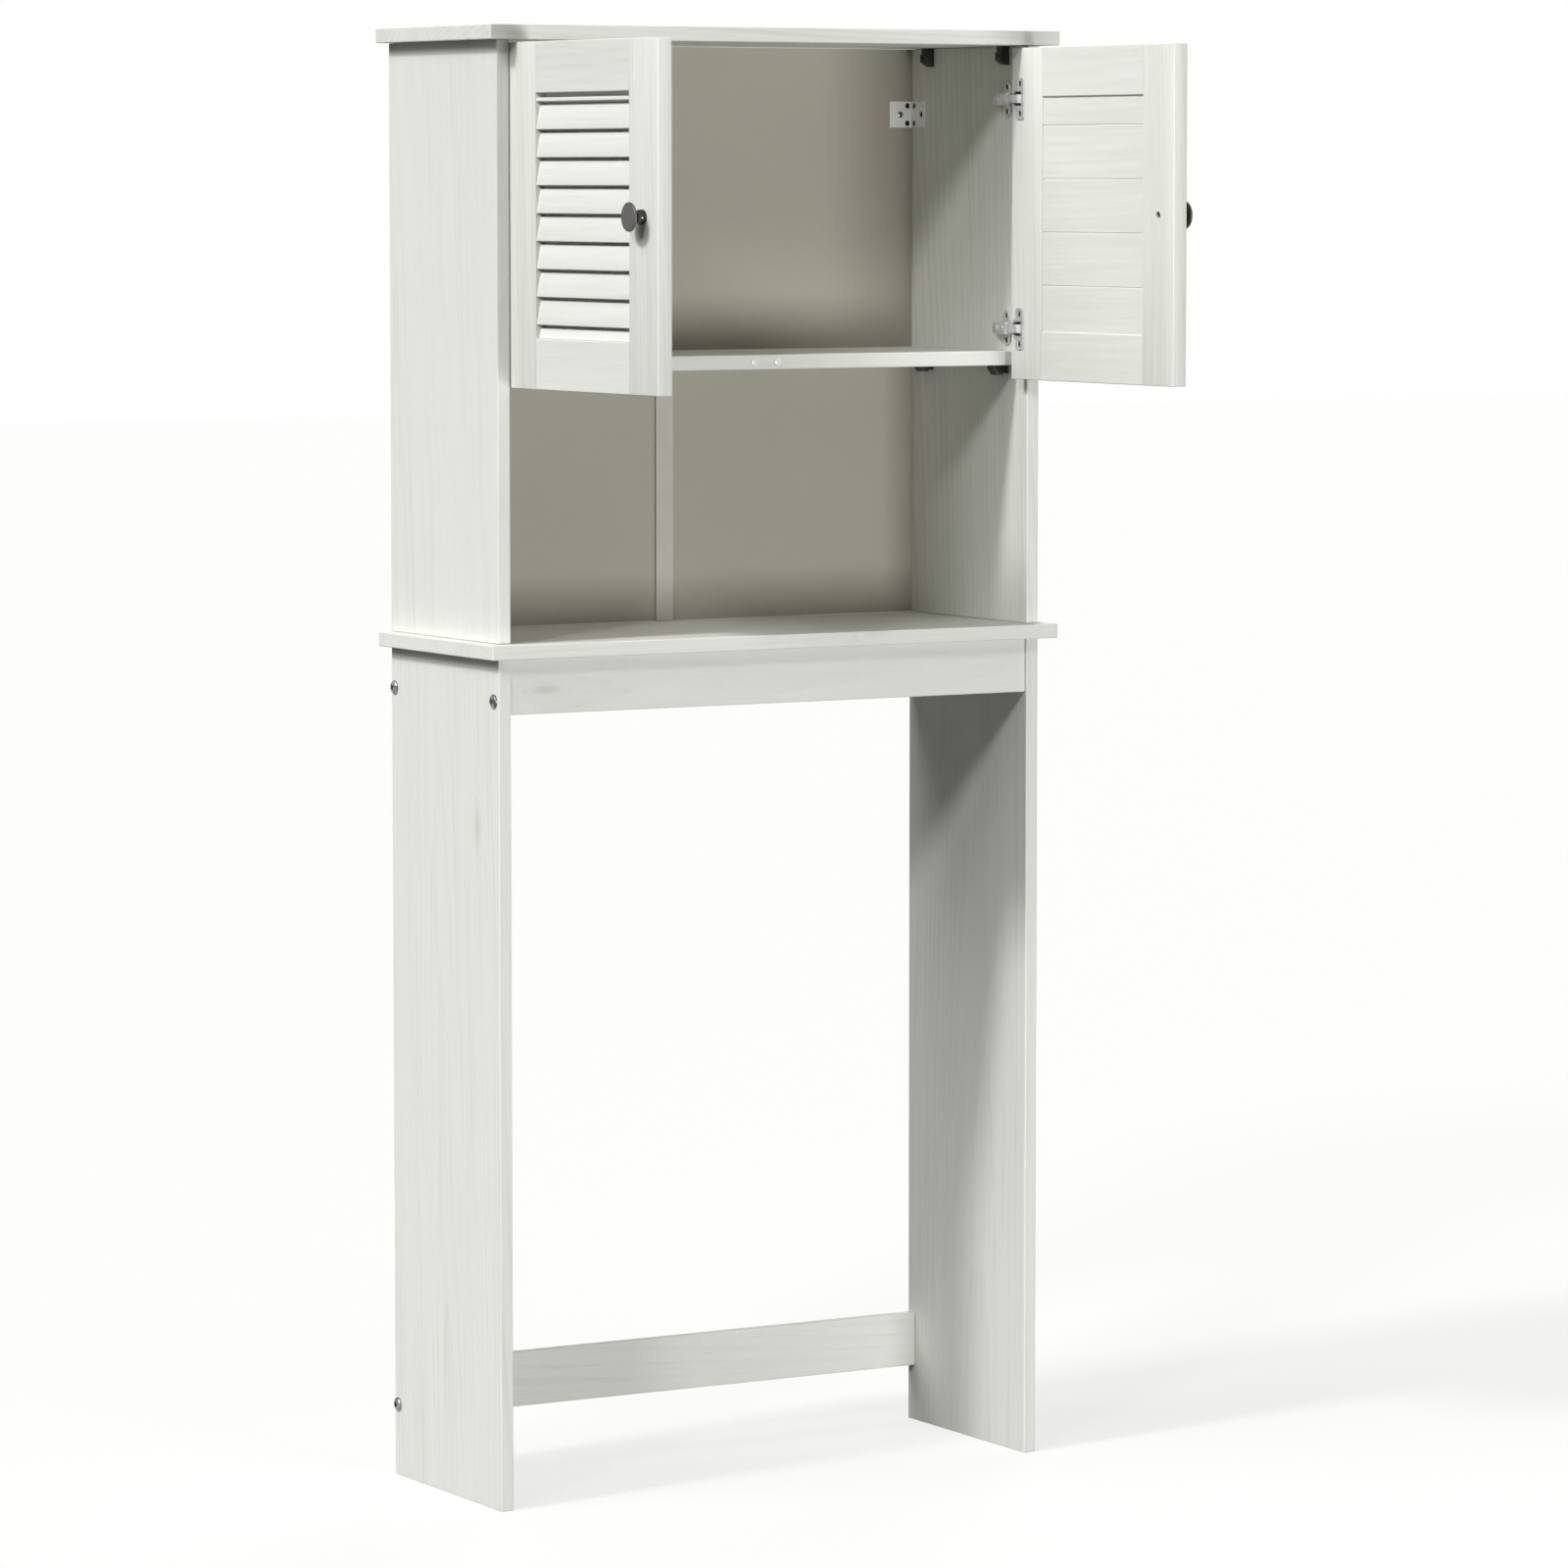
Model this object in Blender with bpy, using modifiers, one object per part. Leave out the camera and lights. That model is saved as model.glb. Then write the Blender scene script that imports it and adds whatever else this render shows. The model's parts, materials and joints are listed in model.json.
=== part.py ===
# Washing machine cabinet: a bay for the machine, an open niche and a cupboard with two louvred doors.
# Metres, +Z up, front towards -Y. The doors stand open at rest, and the floor is at z = 0.
import math

import bmesh
import bpy
from mathutils import Matrix

# Carcase
board_width = 0.720
board_depth = 0.270
board_thick = 0.016
total_height = 1.610
side_thick = 0.015
side_overhang = 0.016
front_overhang = 0.017
bay_height = 0.930  # floor to the underside of the middle board
edge_round = 0.001
fit = 0.0003  # clearance between pieces that touch
overrun = 0.002  # how far a cutter runs past the face it cuts
weld = 0.000005
flat_angle = math.radians(0.5)  # faces closer than this to one plane become one face

# Rails of the bay
rail_height = 0.061
rail_thick = 0.016
apron_recess = 0.003
floor_rail_lift = 0.065

# Bolts through the lower sides
bolt_lift = 0.015  # above the lower edge of the rail
bolt_head_radius = 0.0078
bolt_head_height = 0.0036
bolt_radius = 0.0030
bolt_length = 0.050
recess_width = 0.0014
recess_length = 0.0066
recess_depth = 0.0016

# Back in two halves and the strip that joins them
back_thick = 0.0025
rebate_width = 0.005
strip_width = 0.022
strip_front = 0.0025
strip_rear = 0.001
strip_web = 0.004

# Doors
door_gap = 0.0015
door_top_gap = 0.003
door_thick = 0.017
door_height = 0.3695
shelf_lift = 0.015  # underside of the shelf above the doors' lower edge
pivot_inset = 0.0024  # hinge axis behind the door's front face and in from its edge
door_opening = math.radians(90)
stile_width = 0.061
door_rail_height = 0.0545
slat_pitch = 0.0296
slat_height = 0.0265
slat_slant = 0.0056
slat_thick = 0.0038
slat_recess = 0.001
slat_tenon = 0.003
slat_round = 0.0006
first_slat = 0.0094  # what shows of the slat under the top rail
panel_thick = 0.0035
panel_recess = 0.0025
panel_tongue = 0.006
groove_drop = 0.032
groove_pitch = 0.0592
groove_width = 0.0018
groove_depth = 0.0010

# Knobs
knob_radius = 0.0155
knob_height = 0.018
knob_disc = 0.003
knob_foot = 0.0080
knob_hole = 0.0022
# Down the stem: height as a share of the knob's, radius as a share of its foot's
knob_stem_shares = (
    (0.79, 1.05),
    (0.75, 0.66),
    (0.67, 0.51),
    (0.57, 0.53),
    (0.48, 0.72),
    (0.36, 0.88),
    (0.20, 0.98),
    (0.05, 1.00),
    (0.00, 0.93),
)

# Round stops on the front edge of the shelf
bumper_radius = 0.0044
bumper_thick = 0.0014
bumper_spacing = 0.030

# Cup hinges, the part on the door
hinge_inset = 0.0565  # above the door's lower edge and below its upper one
cup_radius = 0.0115
cup_wall = 0.0008
cup_depth = 0.0112
cup_set = 0.0142  # door edge to cup centre
cup_mouth_half = 0.0080
cup_mouth_far = 0.0068  # cup centre to the straight side of its opening
flange_thick = 0.001
flange_rim = 0.0012
flange_height = 0.0466
flange_far = 0.0118
flange_near = 0.0037
flange_corner = 0.002
ear_offset = 0.0042
ear_spacing = 0.0333
slot_width = 0.0042
slot_length = 0.0068

# Cup hinges, the part on the cabinet's side
plate_set = 0.0416  # cabinet front to the middle of the plate
plate_height = 0.039
plate_ear = 0.013
plate_length = 0.026
plate_waist = 0.013
plate_tip = 0.011
plate_thick = 0.002
plate_ear_spacing = 0.0276
block_length = 0.020
block_width = 0.010
block_rise = 0.003
arm_tail = 0.059
arm_tail_slope = 0.007
arm_tail_share = 0.65  # of the arm's thickness, what is left at its tail
arm_thick = 0.0065
arm_width = 0.013
arm_round = 0.0008
nose_thick = 0.0045
link_play = 0.0005
link_thick = 0.0025
link_width = 0.009
link_start = math.radians(19)
link_end = math.radians(90)
nose_start = math.radians(40)
nose_shoulder = math.radians(62)
nose_end = math.radians(85)

# Corner connectors
connector_length = 0.0205
connector_width = 0.011
connector_depth = 0.013
connector_foot = 0.0066
connector_step = 0.0018
connector_cut_length = 0.0052
connector_cut_width = 0.0076
connector_round = 0.0005
connector_inset = 0.046  # from the front and rear edges of the sides

# Wall brackets in the upper rear corners
bracket_drop = 0.075
bracket_height = 0.030
bracket_back_leg = 0.032
bracket_side_leg = 0.030
bracket_thick = 0.0016
bracket_lip = 0.004
bracket_hole = 0.0032
pair_set = 0.0068
pair_spacing = 0.020
back_hole_set = 0.0165
side_hole_set = 0.023

# Places worked out from the sizes above
side_depth = board_depth - front_overhang
outer_x = board_width / 2 - side_overhang
inner_x = outer_x - side_thick
door_width = (2 * inner_x - 3 * door_gap) / 2  # a gap at each side and one between the doors
overall_depth = side_depth + door_width - 2 * pivot_inset
back_y = overall_depth / 2
front_y = back_y - side_depth
axis_x = inner_x - door_gap - pivot_inset
axis_y = front_y + pivot_inset
middle_top = bay_height + board_thick
upper_top = total_height - board_thick
strip_back_y = back_y - strip_rear
panel_back_y = strip_back_y - fit
panel_front_y = panel_back_y - back_thick
strip_front_y = panel_front_y - fit - strip_front
shelf_front_y = front_y + door_thick + bumper_thick + 2 * fit
door_top = upper_top - door_top_gap
door_bottom = door_top - door_height
shelf_height = door_bottom + shelf_lift
shelf_top = shelf_height + board_thick
door_middle = (door_top + door_bottom) / 2
opening_top = door_top - door_rail_height
opening_bottom = door_bottom + door_rail_height
panel_back = door_thick - panel_recess
panel_front = panel_back - panel_thick
flange_top = door_thick + fit + flange_thick
rim_radius = cup_radius + flange_rim
rim_reach = math.hypot(cup_set - rim_radius - pivot_inset, flange_top - pivot_inset)
link_inner = rim_reach + link_play
link_outer = link_inner + link_thick
nose_inner = link_outer + link_play
nose_outer = nose_inner + nose_thick
hinge_heights = {"upper": door_top - hinge_inset, "lower": door_bottom + hinge_inset}
rails = {
    "front_apron": ("front_top", front_y + apron_recess, bay_height - rail_height),
    "rear_top_rail": ("rear_top", back_y - rail_thick, bay_height - rail_height),
    "rear_bottom_rail": ("rear_bottom", back_y - rail_thick, floor_rail_lift),
}
sides = {"left": -1, "right": 1}

# Looks: colour, roughness, metallic
looks = {
    "pine": ((0.745, 0.760, 0.715), 0.55, 0.0),
    "back": ((0.560, 0.545, 0.500), 0.65, 0.0),
    "bronze": ((0.050, 0.047, 0.045), 0.32, 0.8),
    "nickel": ((0.620, 0.620, 0.640), 0.25, 1.0),
    "steel": ((0.480, 0.480, 0.490), 0.30, 1.0),
    "black": ((0.012, 0.012, 0.013), 0.45, 0.0),
    "white": ((0.800, 0.800, 0.780), 0.40, 0.0),
    "clear": ((0.850, 0.850, 0.840), 0.30, 0.0),
}

# Ways to lay a flat outline: in plan, standing across, standing front to back
flat = Matrix.Identity(4)
across = Matrix.Rotation(math.pi / 2, 4, "X")
lengthways = Matrix(((0, 0, 1, 0), (1, 0, 0, 0), (0, 1, 0, 0), (0, 0, 0, 1)))

for old in list(bpy.data.objects):
    bpy.data.objects.remove(old, do_unlink=True)
part_set = bpy.data.collections.new("washing_machine_cabinet")
cutter_set = bpy.data.collections.new("cutters")
bpy.context.scene.collection.children.link(part_set)
bpy.context.scene.collection.children.link(cutter_set)


def finish(name, look):
    colour, roughness, metallic = looks[look]
    material = bpy.data.materials.new(name + "_finish")
    material.use_nodes = True
    shader = material.node_tree.nodes["Principled BSDF"]
    shader.inputs["Base Color"].default_value = (*colour, 1)
    shader.inputs["Roughness"].default_value = roughness
    shader.inputs["Metallic"].default_value = metallic
    return material


def add_piece(name, mesh, look, location=(0, 0, 0), rotation=(0, 0, 0), parent=None):
    mesh.materials.clear()
    mesh.materials.append(finish(name, look))
    piece = bpy.data.objects.new(name, mesh)
    piece.location = location
    piece.rotation_euler = rotation
    piece.parent = parent
    part_set.objects.link(piece)
    return piece


def add_cutter(name, mesh, location=(0, 0, 0), rotation=(0, 0, 0), parent=None):
    cutter = bpy.data.objects.new(name, mesh)
    cutter.location = location
    cutter.rotation_euler = rotation
    cutter.parent = parent
    cutter.hide_render = True
    cutter.display_type = "WIRE"
    cutter_set.objects.link(cutter)
    return cutter


def add_axis(name, side, turn):
    axis = bpy.data.objects.new(name, None)
    axis.location = (side * axis_x, axis_y, 0)
    axis.rotation_euler = (0, 0, side * turn)
    axis.empty_display_size = pivot_inset
    part_set.objects.link(axis)
    return axis


def mesh_from(name, shape):
    mesh = bpy.data.meshes.new(name)
    shape.to_mesh(mesh)
    shape.free()
    return mesh


def box_mesh(name, x, y, z):
    shape = bmesh.new()
    bmesh.ops.create_cube(shape, size=1)
    bmesh.ops.scale(shape, vec=(x[1] - x[0], y[1] - y[0], z[1] - z[0]), verts=shape.verts)
    centre = ((x[0] + x[1]) / 2, (y[0] + y[1]) / 2, (z[0] + z[1]) / 2)
    bmesh.ops.translate(shape, vec=centre, verts=shape.verts)
    return mesh_from(name, shape)


def rod_mesh(name, radius, length, lay, segments=24):
    shape = bmesh.new()
    bmesh.ops.create_cone(
        shape, cap_ends=True, segments=segments, radius1=radius, radius2=radius, depth=length
    )
    bmesh.ops.transform(shape, matrix=lay, verts=shape.verts)
    return mesh_from(name, shape)


# A flat outline, with holes where it has more than one loop, made as thick as asked about its plane.
def plate_mesh(name, loops, thickness, lay=flat):
    curve = bpy.data.curves.new(name, "CURVE")
    curve.dimensions = "2D"
    curve.fill_mode = "BOTH"
    curve.extrude = thickness / 2
    for loop in loops:
        spline = curve.splines.new("POLY")
        spline.points.add(len(loop) - 1)
        spline.use_cyclic_u = True
        for point, (x, y) in zip(spline.points, loop):
            point.co = (x, y, 0, 1)
    guide = bpy.data.objects.new(name + "_guide", curve)
    cutter_set.objects.link(guide)
    graph = bpy.context.evaluated_depsgraph_get()
    mesh = bpy.data.meshes.new_from_object(guide.evaluated_get(graph))
    bpy.data.objects.remove(guide)
    shape = bmesh.new()
    shape.from_mesh(mesh)
    bmesh.ops.remove_doubles(shape, verts=shape.verts, dist=weld)
    bmesh.ops.dissolve_limit(shape, angle_limit=flat_angle, verts=shape.verts, edges=shape.edges)
    bmesh.ops.recalc_face_normals(shape, faces=shape.faces)
    bmesh.ops.transform(shape, matrix=lay, verts=shape.verts)
    shape.to_mesh(mesh)
    shape.free()
    return mesh


# A profile of (radius, height) points, top to bottom down its outer side, to be turned about Z.
def profile_mesh(name, profile):
    mesh = bpy.data.meshes.new(name)
    points = [(radius, 0, height) for radius, height in profile]
    mesh.from_pydata(points, [(i, i + 1) for i in range(len(points) - 1)], [])
    return mesh


def turn_profile(piece, steps):
    screw = piece.modifiers.new("Turn", "SCREW")
    screw.axis = "Z"
    screw.angle = 2 * math.pi
    screw.steps = steps
    screw.render_steps = steps
    screw.use_merge_vertices = True
    screw.merge_threshold = weld
    screw.use_smooth_shade = True


def soften(piece, width, segments=2):
    bevel = piece.modifiers.new("Soft edges", "BEVEL")
    bevel.width = width
    bevel.segments = segments
    bevel.limit_method = "ANGLE"
    bevel.use_clamp_overlap = True


def combine(piece, other, operation="DIFFERENCE"):
    boolean = piece.modifiers.new(other.name, "BOOLEAN")
    boolean.operation = operation
    boolean.solver = "EXACT"
    boolean.object = other


def arc(centre, radius, start, end, steps):
    return [
        (
            centre[0] + radius * math.cos(start + (end - start) * i / steps),
            centre[1] + radius * math.sin(start + (end - start) * i / steps),
        )
        for i in range(steps + 1)
    ]


# A slot with round ends, longer along the outline's second direction.
def slot_loop(centre, width, length, steps=6):
    reach = (length - width) / 2
    top = arc((centre[0], centre[1] + reach), width / 2, 0, math.pi, steps)
    bottom = arc((centre[0], centre[1] - reach), width / 2, math.pi, 2 * math.pi, steps)
    return top + bottom


def mirrored(loop, side):
    return [(-side * x, y) for x, y in loop]


def board(name, x, y, z, look="pine"):
    piece = add_piece(name, box_mesh(name, x, y, z), look)
    soften(piece, edge_round)
    return piece


def side_span(side, near, far):
    return tuple(sorted((side * near, side * far)))


# The boards: top and middle overhang the sides, and both are flush with them at the back.
def make_boards():
    half = board_width / 2
    board("top_board", (-half, half), (back_y - board_depth, back_y), (upper_top, total_height))
    board("middle_board", (-half, half), (back_y - board_depth, back_y), (bay_height, middle_top))


def make_sides():
    for word, side in sides.items():
        x = side_span(side, inner_x, outer_x)
        board(f"{word}_lower_side", x, (front_y, back_y), (0, bay_height - fit))
        upper = board(f"{word}_upper_side", x, (front_y, back_y), (middle_top + fit, upper_top - fit))
        cut = box_mesh(
            "rebate",
            side_span(side, inner_x - overrun, inner_x + rebate_width),
            (panel_front_y - fit, back_y + overrun),
            (middle_top - overrun, upper_top + overrun),
        )
        combine(upper, add_cutter(f"{word}_rebate", cut))


def make_rails():
    half = inner_x - fit
    for name, (_, y, z) in rails.items():
        top = min(z + rail_height, bay_height - fit)
        board(name, (-half, half), (y, y + rail_thick), (z, top))


# Each bolt runs through the lower side into the end of its rail.
def make_bolts():
    steps = 6
    turns = [math.pi / 2 * i / steps for i in range(steps)]
    profile = [(bolt_head_radius * math.sin(a), bolt_head_height * math.cos(a)) for a in turns]
    profile += [
        (bolt_head_radius, 0),
        (bolt_radius, 0),
        (bolt_radius, -bolt_length),
        (0, -bolt_length),
    ]
    half, thin, deep = recess_length / 2, recess_width / 2, recess_depth
    for word, side in sides.items():
        rotation = (0, side * math.pi / 2, 0)
        for rail, (place, y, z) in rails.items():
            name = f"{word}_bolt_{place}"
            seat = (side * (outer_x + fit), y + rail_thick / 2, z + bolt_lift)
            bolt = add_piece(name, profile_mesh(name, profile), "steel", seat, rotation)
            turn_profile(bolt, 20)
            crown = (seat[0] + side * bolt_head_height, seat[1], seat[2])
            for label, wide, tall in (("level", thin, half), ("upright", half, thin)):
                cut = box_mesh("recess", (-wide, wide), (-tall, tall), (-deep, deep))
                combine(bolt, add_cutter(f"{name}_{label}_recess", cut, crown, rotation))
            bore = rod_mesh("bore", bolt_radius + fit, 2 * (bolt_length + overrun), flat)
            hole = add_cutter(name + "_bore", bore, seat, rotation)
            combine(bpy.data.objects[f"{word}_lower_side"], hole)
            combine(bpy.data.objects[rail], hole)


# Two thin halves in the rebates of the sides, and an H-shaped strip that holds them together.
def make_back():
    z = (middle_top + fit, upper_top - fit)
    for word, side in sides.items():
        x = side_span(side, strip_web / 2 + fit, inner_x + rebate_width - fit)
        add_piece(f"{word}_back_panel", box_mesh("back", x, (panel_front_y, panel_back_y), z), "back")
    web, wing = strip_web / 2, strip_width / 2
    right = [
        (wing, strip_front_y),
        (wing, strip_front_y + strip_front),
        (web, strip_front_y + strip_front),
        (web, strip_back_y),
        (wing, strip_back_y),
        (wing, back_y),
    ]
    outline = right + [(-x, y) for x, y in reversed(right)]
    mesh = plate_mesh("strip", [outline], z[1] - z[0])
    add_piece("back_joining_strip", mesh, "pine", (0, 0, (z[0] + z[1]) / 2))


# The shelf stands behind the closed doors and is notched round the joining strip.
def make_shelf():
    half = inner_x - fit
    shelf = board("shelf", (-half, half), (shelf_front_y, panel_front_y - fit), (shelf_height, shelf_top))
    notch = box_mesh(
        "notch",
        (-strip_width / 2 - fit, strip_width / 2 + fit),
        (strip_front_y - fit, back_y),
        (shelf_height - overrun, shelf_top + overrun),
    )
    combine(shelf, add_cutter("shelf_notch", notch))
    rim = bumper_thick / 2
    profile = [
        (0, bumper_thick),
        (bumper_radius - rim, bumper_thick),
        (bumper_radius, rim),
        (bumper_radius, 0),
        (0, 0),
    ]
    for word, side in sides.items():
        name = f"{word}_bumper"
        centre = (side * bumper_spacing / 2, shelf_front_y - fit, shelf_height + board_thick / 2)
        bumper = add_piece(name, profile_mesh(name, profile), "clear", centre, (math.pi / 2, 0, 0))
        turn_profile(bumper, 20)


# A stepped block with one sloping end: under the top board it hangs down the side,
# and under the shelf it lies along the shelf.
def make_connectors():
    length, width = connector_length, connector_width
    outline = [
        (0, 0),
        (length, 0),
        (length, width - connector_cut_width),
        (length - connector_cut_length, width),
        (connector_foot, width),
        (connector_foot, width - connector_step),
        (0, width - connector_step),
    ]
    ends = {"front": front_y + connector_inset, "rear": back_y - connector_inset}
    for word, side in sides.items():
        wall = side * (inner_x - fit)
        for end, y in ends.items():
            hanging = [(wall - side * v, upper_top - fit - u) for u, v in outline]
            lying = [(wall - side * u, shelf_height - fit - v) for u, v in outline]
            for place, loop in (("top", hanging), ("shelf", lying)):
                name = f"{word}_connector_{place}_{end}"
                mesh = plate_mesh(name, [loop], connector_depth, across)
                soften(add_piece(name, mesh, "black", (0, y, 0)), connector_round, 1)


# An angle with one leg on the back and one on the side, drilled for screws. The back leg ends in a lip.
def make_brackets():
    z = upper_top - bracket_drop
    pair = (-pair_spacing / 2, pair_spacing / 2)
    for word, side in sides.items():
        x, y = inner_x - fit, panel_front_y - fit
        plan = [
            (x, y),
            (x - bracket_back_leg, y),
            (x - bracket_back_leg, y - bracket_lip),
            (x - bracket_back_leg + bracket_thick, y - bracket_lip),
            (x - bracket_back_leg + bracket_thick, y - bracket_thick),
            (x - bracket_thick, y - bracket_thick),
            (x - bracket_thick, y - bracket_side_leg),
            (x, y - bracket_side_leg),
        ]
        mesh = plate_mesh("bracket", [[(side * a, b) for a, b in plan]], bracket_height)
        bracket = add_piece(f"{word}_wall_bracket", mesh, "white", (0, 0, z))
        drill = 2 * (bracket_thick + overrun)
        for leg, single, lay in (("back", back_hole_set, across), ("side", side_hole_set, lengthways)):
            for i, (reach, lift) in enumerate(((pair_set, pair[0]), (pair_set, pair[1]), (single, 0))):
                rod = rod_mesh("hole", bracket_hole, drill, lay, 16)
                place = (side * (x - reach), y, z + lift)
                if leg == "side":
                    place = (side * x, y - reach, z + lift)
                combine(bracket, add_cutter(f"{word}_bracket_{leg}_hole_{i}", rod, place))


# Door pieces are laid out on the closed door: from its hinge edge, from its front face, and in height.
def door_box(name, side, along, deep, z):
    x = side_span(-side, along[0] - pivot_inset, along[1] - pivot_inset)
    return box_mesh(name, x, (deep[0] - pivot_inset, deep[1] - pivot_inset), z)


def door_x(side, along):
    return -side * (along - pivot_inset)


# Slanted slats between the stiles, the end ones cut off by the rails.
def make_slats(word, side, axis):
    inset = stile_width - slat_tenon
    length = door_width - 2 * inset
    shape = bmesh.new()
    low = opening_top - first_slat
    while low + slat_height > opening_bottom:
        section = [
            (slat_recess, low),
            (slat_recess + slat_thick, low),
            (slat_recess + slat_slant + slat_thick, low + slat_height),
            (slat_recess + slat_slant, low + slat_height),
        ]
        section = [(deep - pivot_inset, z) for deep, z in section]
        shape.from_mesh(plate_mesh("slat", [section], length, lengthways))
        low -= slat_pitch
    middle = (door_x(side, door_width / 2), 0, 0)
    slats = add_cutter(f"{word}_slats", mesh_from("slats", shape), middle, parent=axis)
    soften(slats, slat_round, 1)
    clear_z = (opening_bottom + fit, opening_top - fit)
    clear = door_box("clear", side, (0, door_width), (0, door_thick), clear_z)
    combine(slats, add_cutter(f"{word}_slat_room", clear, parent=axis), "INTERSECT")
    return slats


def make_frame(word, side, axis):
    stiles = bmesh.new()
    for start in (0, door_width - stile_width):
        along = (start, start + stile_width)
        stiles.from_mesh(door_box("stile", side, along, (0, door_thick), (door_bottom, door_top)))
    name = f"{word}_door_louvre_frame"
    frame = add_piece(name, mesh_from(name, stiles), "pine", parent=axis)
    soften(frame, edge_round)
    combine(frame, make_slats(word, side, axis), "UNION")
    return frame


def make_door_rails(word, side, axis):
    along = (stile_width + fit, door_width - stile_width - fit)
    heights = {"top": (opening_top, door_top), "bottom": (door_bottom, opening_bottom)}
    for place, z in heights.items():
        name = f"{word}_door_{place}_rail"
        rail = add_piece(name, door_box(name, side, along, (0, door_thick), z), "pine", parent=axis)
        soften(rail, edge_round)


# The inner panel sits in a groove all round and carries V grooves on its inside.
def make_panel(word, side, axis):
    reach = panel_tongue - fit
    along = (stile_width - reach, door_width - stile_width + reach)
    heights = (opening_bottom - reach, opening_top + reach)
    name = f"{word}_door_back_panel"
    mesh = door_box(name, side, along, (panel_front, panel_back), heights)
    panel = add_piece(name, mesh, "pine", parent=axis)
    half = groove_width / 2
    z = opening_top - groove_drop
    count = 0
    while z > opening_bottom + groove_width:
        slope = groove_width * overrun / groove_depth / 2
        section = [
            (panel_back - groove_depth, z),
            (panel_back + overrun, z - half - slope),
            (panel_back + overrun, z + half + slope),
        ]
        section = [(deep - pivot_inset, height) for deep, height in section]
        mesh = plate_mesh("groove", [section], door_width - stile_width, lengthways)
        place = (door_x(side, door_width / 2), 0, 0)
        combine(panel, add_cutter(f"{word}_panel_groove_{count}", mesh, place, parent=axis))
        z -= groove_pitch
        count += 1
    deep = (panel_front - fit, panel_back + fit)
    spread = (stile_width - panel_tongue, door_width - stile_width + panel_tongue)
    tall = (opening_bottom - panel_tongue, opening_top + panel_tongue)
    room = add_cutter(f"{word}_panel_room", door_box("room", side, spread, deep, tall), parent=axis)
    for neighbour in ("louvre_frame", "top_rail", "bottom_rail"):
        combine(bpy.data.objects[f"{word}_door_{neighbour}"], room)


# A flat disc on a waisted stem with a round foot.
def make_knob(word, side, axis):
    disc_low = knob_height - knob_disc
    rim = knob_disc / 4
    profile = [
        (0, knob_height),
        (knob_radius - 2 * rim, knob_height),
        (knob_radius - rim / 2, knob_height - rim / 2),
        (knob_radius, knob_height - 2 * rim),
        (knob_radius - rim, disc_low),
        ((knob_radius + knob_foot) / 2, disc_low - rim),
    ]
    profile += [(knob_foot * radius, knob_height * height) for height, radius in knob_stem_shares]
    profile.append((0, 0))
    x = door_x(side, door_width - stile_width / 2)
    name = f"{word}_door_knob"
    place = (x, -pivot_inset - fit, door_middle)
    knob = add_piece(name, profile_mesh(name, profile), "bronze", place, (math.pi / 2, 0, 0), axis)
    turn_profile(knob, 28)
    rod = rod_mesh("hole", knob_hole, 2 * (door_thick + overrun), across, 16)
    hole = add_cutter(f"{word}_knob_hole", rod, (x, 0, door_middle), parent=axis)
    combine(bpy.data.objects[f"{word}_door_louvre_frame"], hole)


def make_cup(word, side, axis, level, z):
    half = flange_height / 2
    rim_start = math.pi - math.acos(flange_near / rim_radius)
    corner = flange_corner
    quarter = math.pi / 2
    upper = arc((flange_far - corner, half - corner), corner, 0, quarter, 3)
    upper += arc((corner - flange_near, half - corner), corner, quarter, 2 * quarter, 3)
    lower = arc((corner - flange_near, corner - half), corner, 2 * quarter, 3 * quarter, 3)
    lower += arc((flange_far - corner, corner - half), corner, 3 * quarter, 4 * quarter, 3)
    bulge = arc((0, 0), rim_radius, rim_start, 2 * math.pi - rim_start, 14)
    ears = (-ear_spacing / 2, ear_spacing / 2)
    slots = [slot_loop((ear_offset, lift), slot_width, slot_length) for lift in ears]
    loops = [mirrored(loop, side) for loop in [upper + bulge + lower] + slots]
    x = door_x(side, cup_set)
    flange_low = door_thick + fit - pivot_inset
    name = f"{word}_hinge_cup_{level}"
    mesh = plate_mesh(name, loops, flange_thick, across)
    cup = add_piece(name, mesh, "nickel", (x, flange_low + flange_thick / 2, z), parent=axis)
    body = rod_mesh("cup", cup_radius, cup_depth, across, 32)
    body_place = (x, flange_low + flange_thick / 2 - cup_depth / 2, z)
    combine(cup, add_cutter(name + "_body", body, body_place, parent=axis), "UNION")
    inside = cup_depth - cup_wall + overrun
    hollow_radius = cup_radius - cup_wall
    turn = math.asin(cup_mouth_half / hollow_radius)
    mouth = arc((0, 0), hollow_radius, math.pi - turn, math.pi + turn, 12)
    mouth += [(cup_mouth_far, -cup_mouth_half), (cup_mouth_far, cup_mouth_half)]
    hollow = plate_mesh("hollow", [mirrored(mouth, side)], inside, across)
    hollow_place = (x, flange_low + flange_thick / 2 - cup_depth + cup_wall + inside / 2, z)
    combine(cup, add_cutter(name + "_hollow", hollow, hollow_place, parent=axis))
    seat = cup_depth + fit
    bore = rod_mesh("bore", cup_radius + fit, 2 * seat, across, 32)
    bore_place = (x, flange_low + flange_thick / 2, z)
    frame = bpy.data.objects[f"{word}_door_louvre_frame"]
    combine(frame, add_cutter(name + "_bore", bore, bore_place, parent=axis))


# The curved link turns about the hinge axis at half the door's angle, between cup and arm.
def make_link(word, side, axis, level, z):
    outer = arc((0, 0), link_outer, link_start, link_end, 10)
    inner = arc((0, 0), link_inner, link_end, link_start, 10)
    name = f"{word}_hinge_link_{level}"
    mesh = plate_mesh(name, [mirrored(outer + inner, side)], link_width)
    add_piece(name, mesh, "nickel", (0, 0, z), parent=axis)


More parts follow.
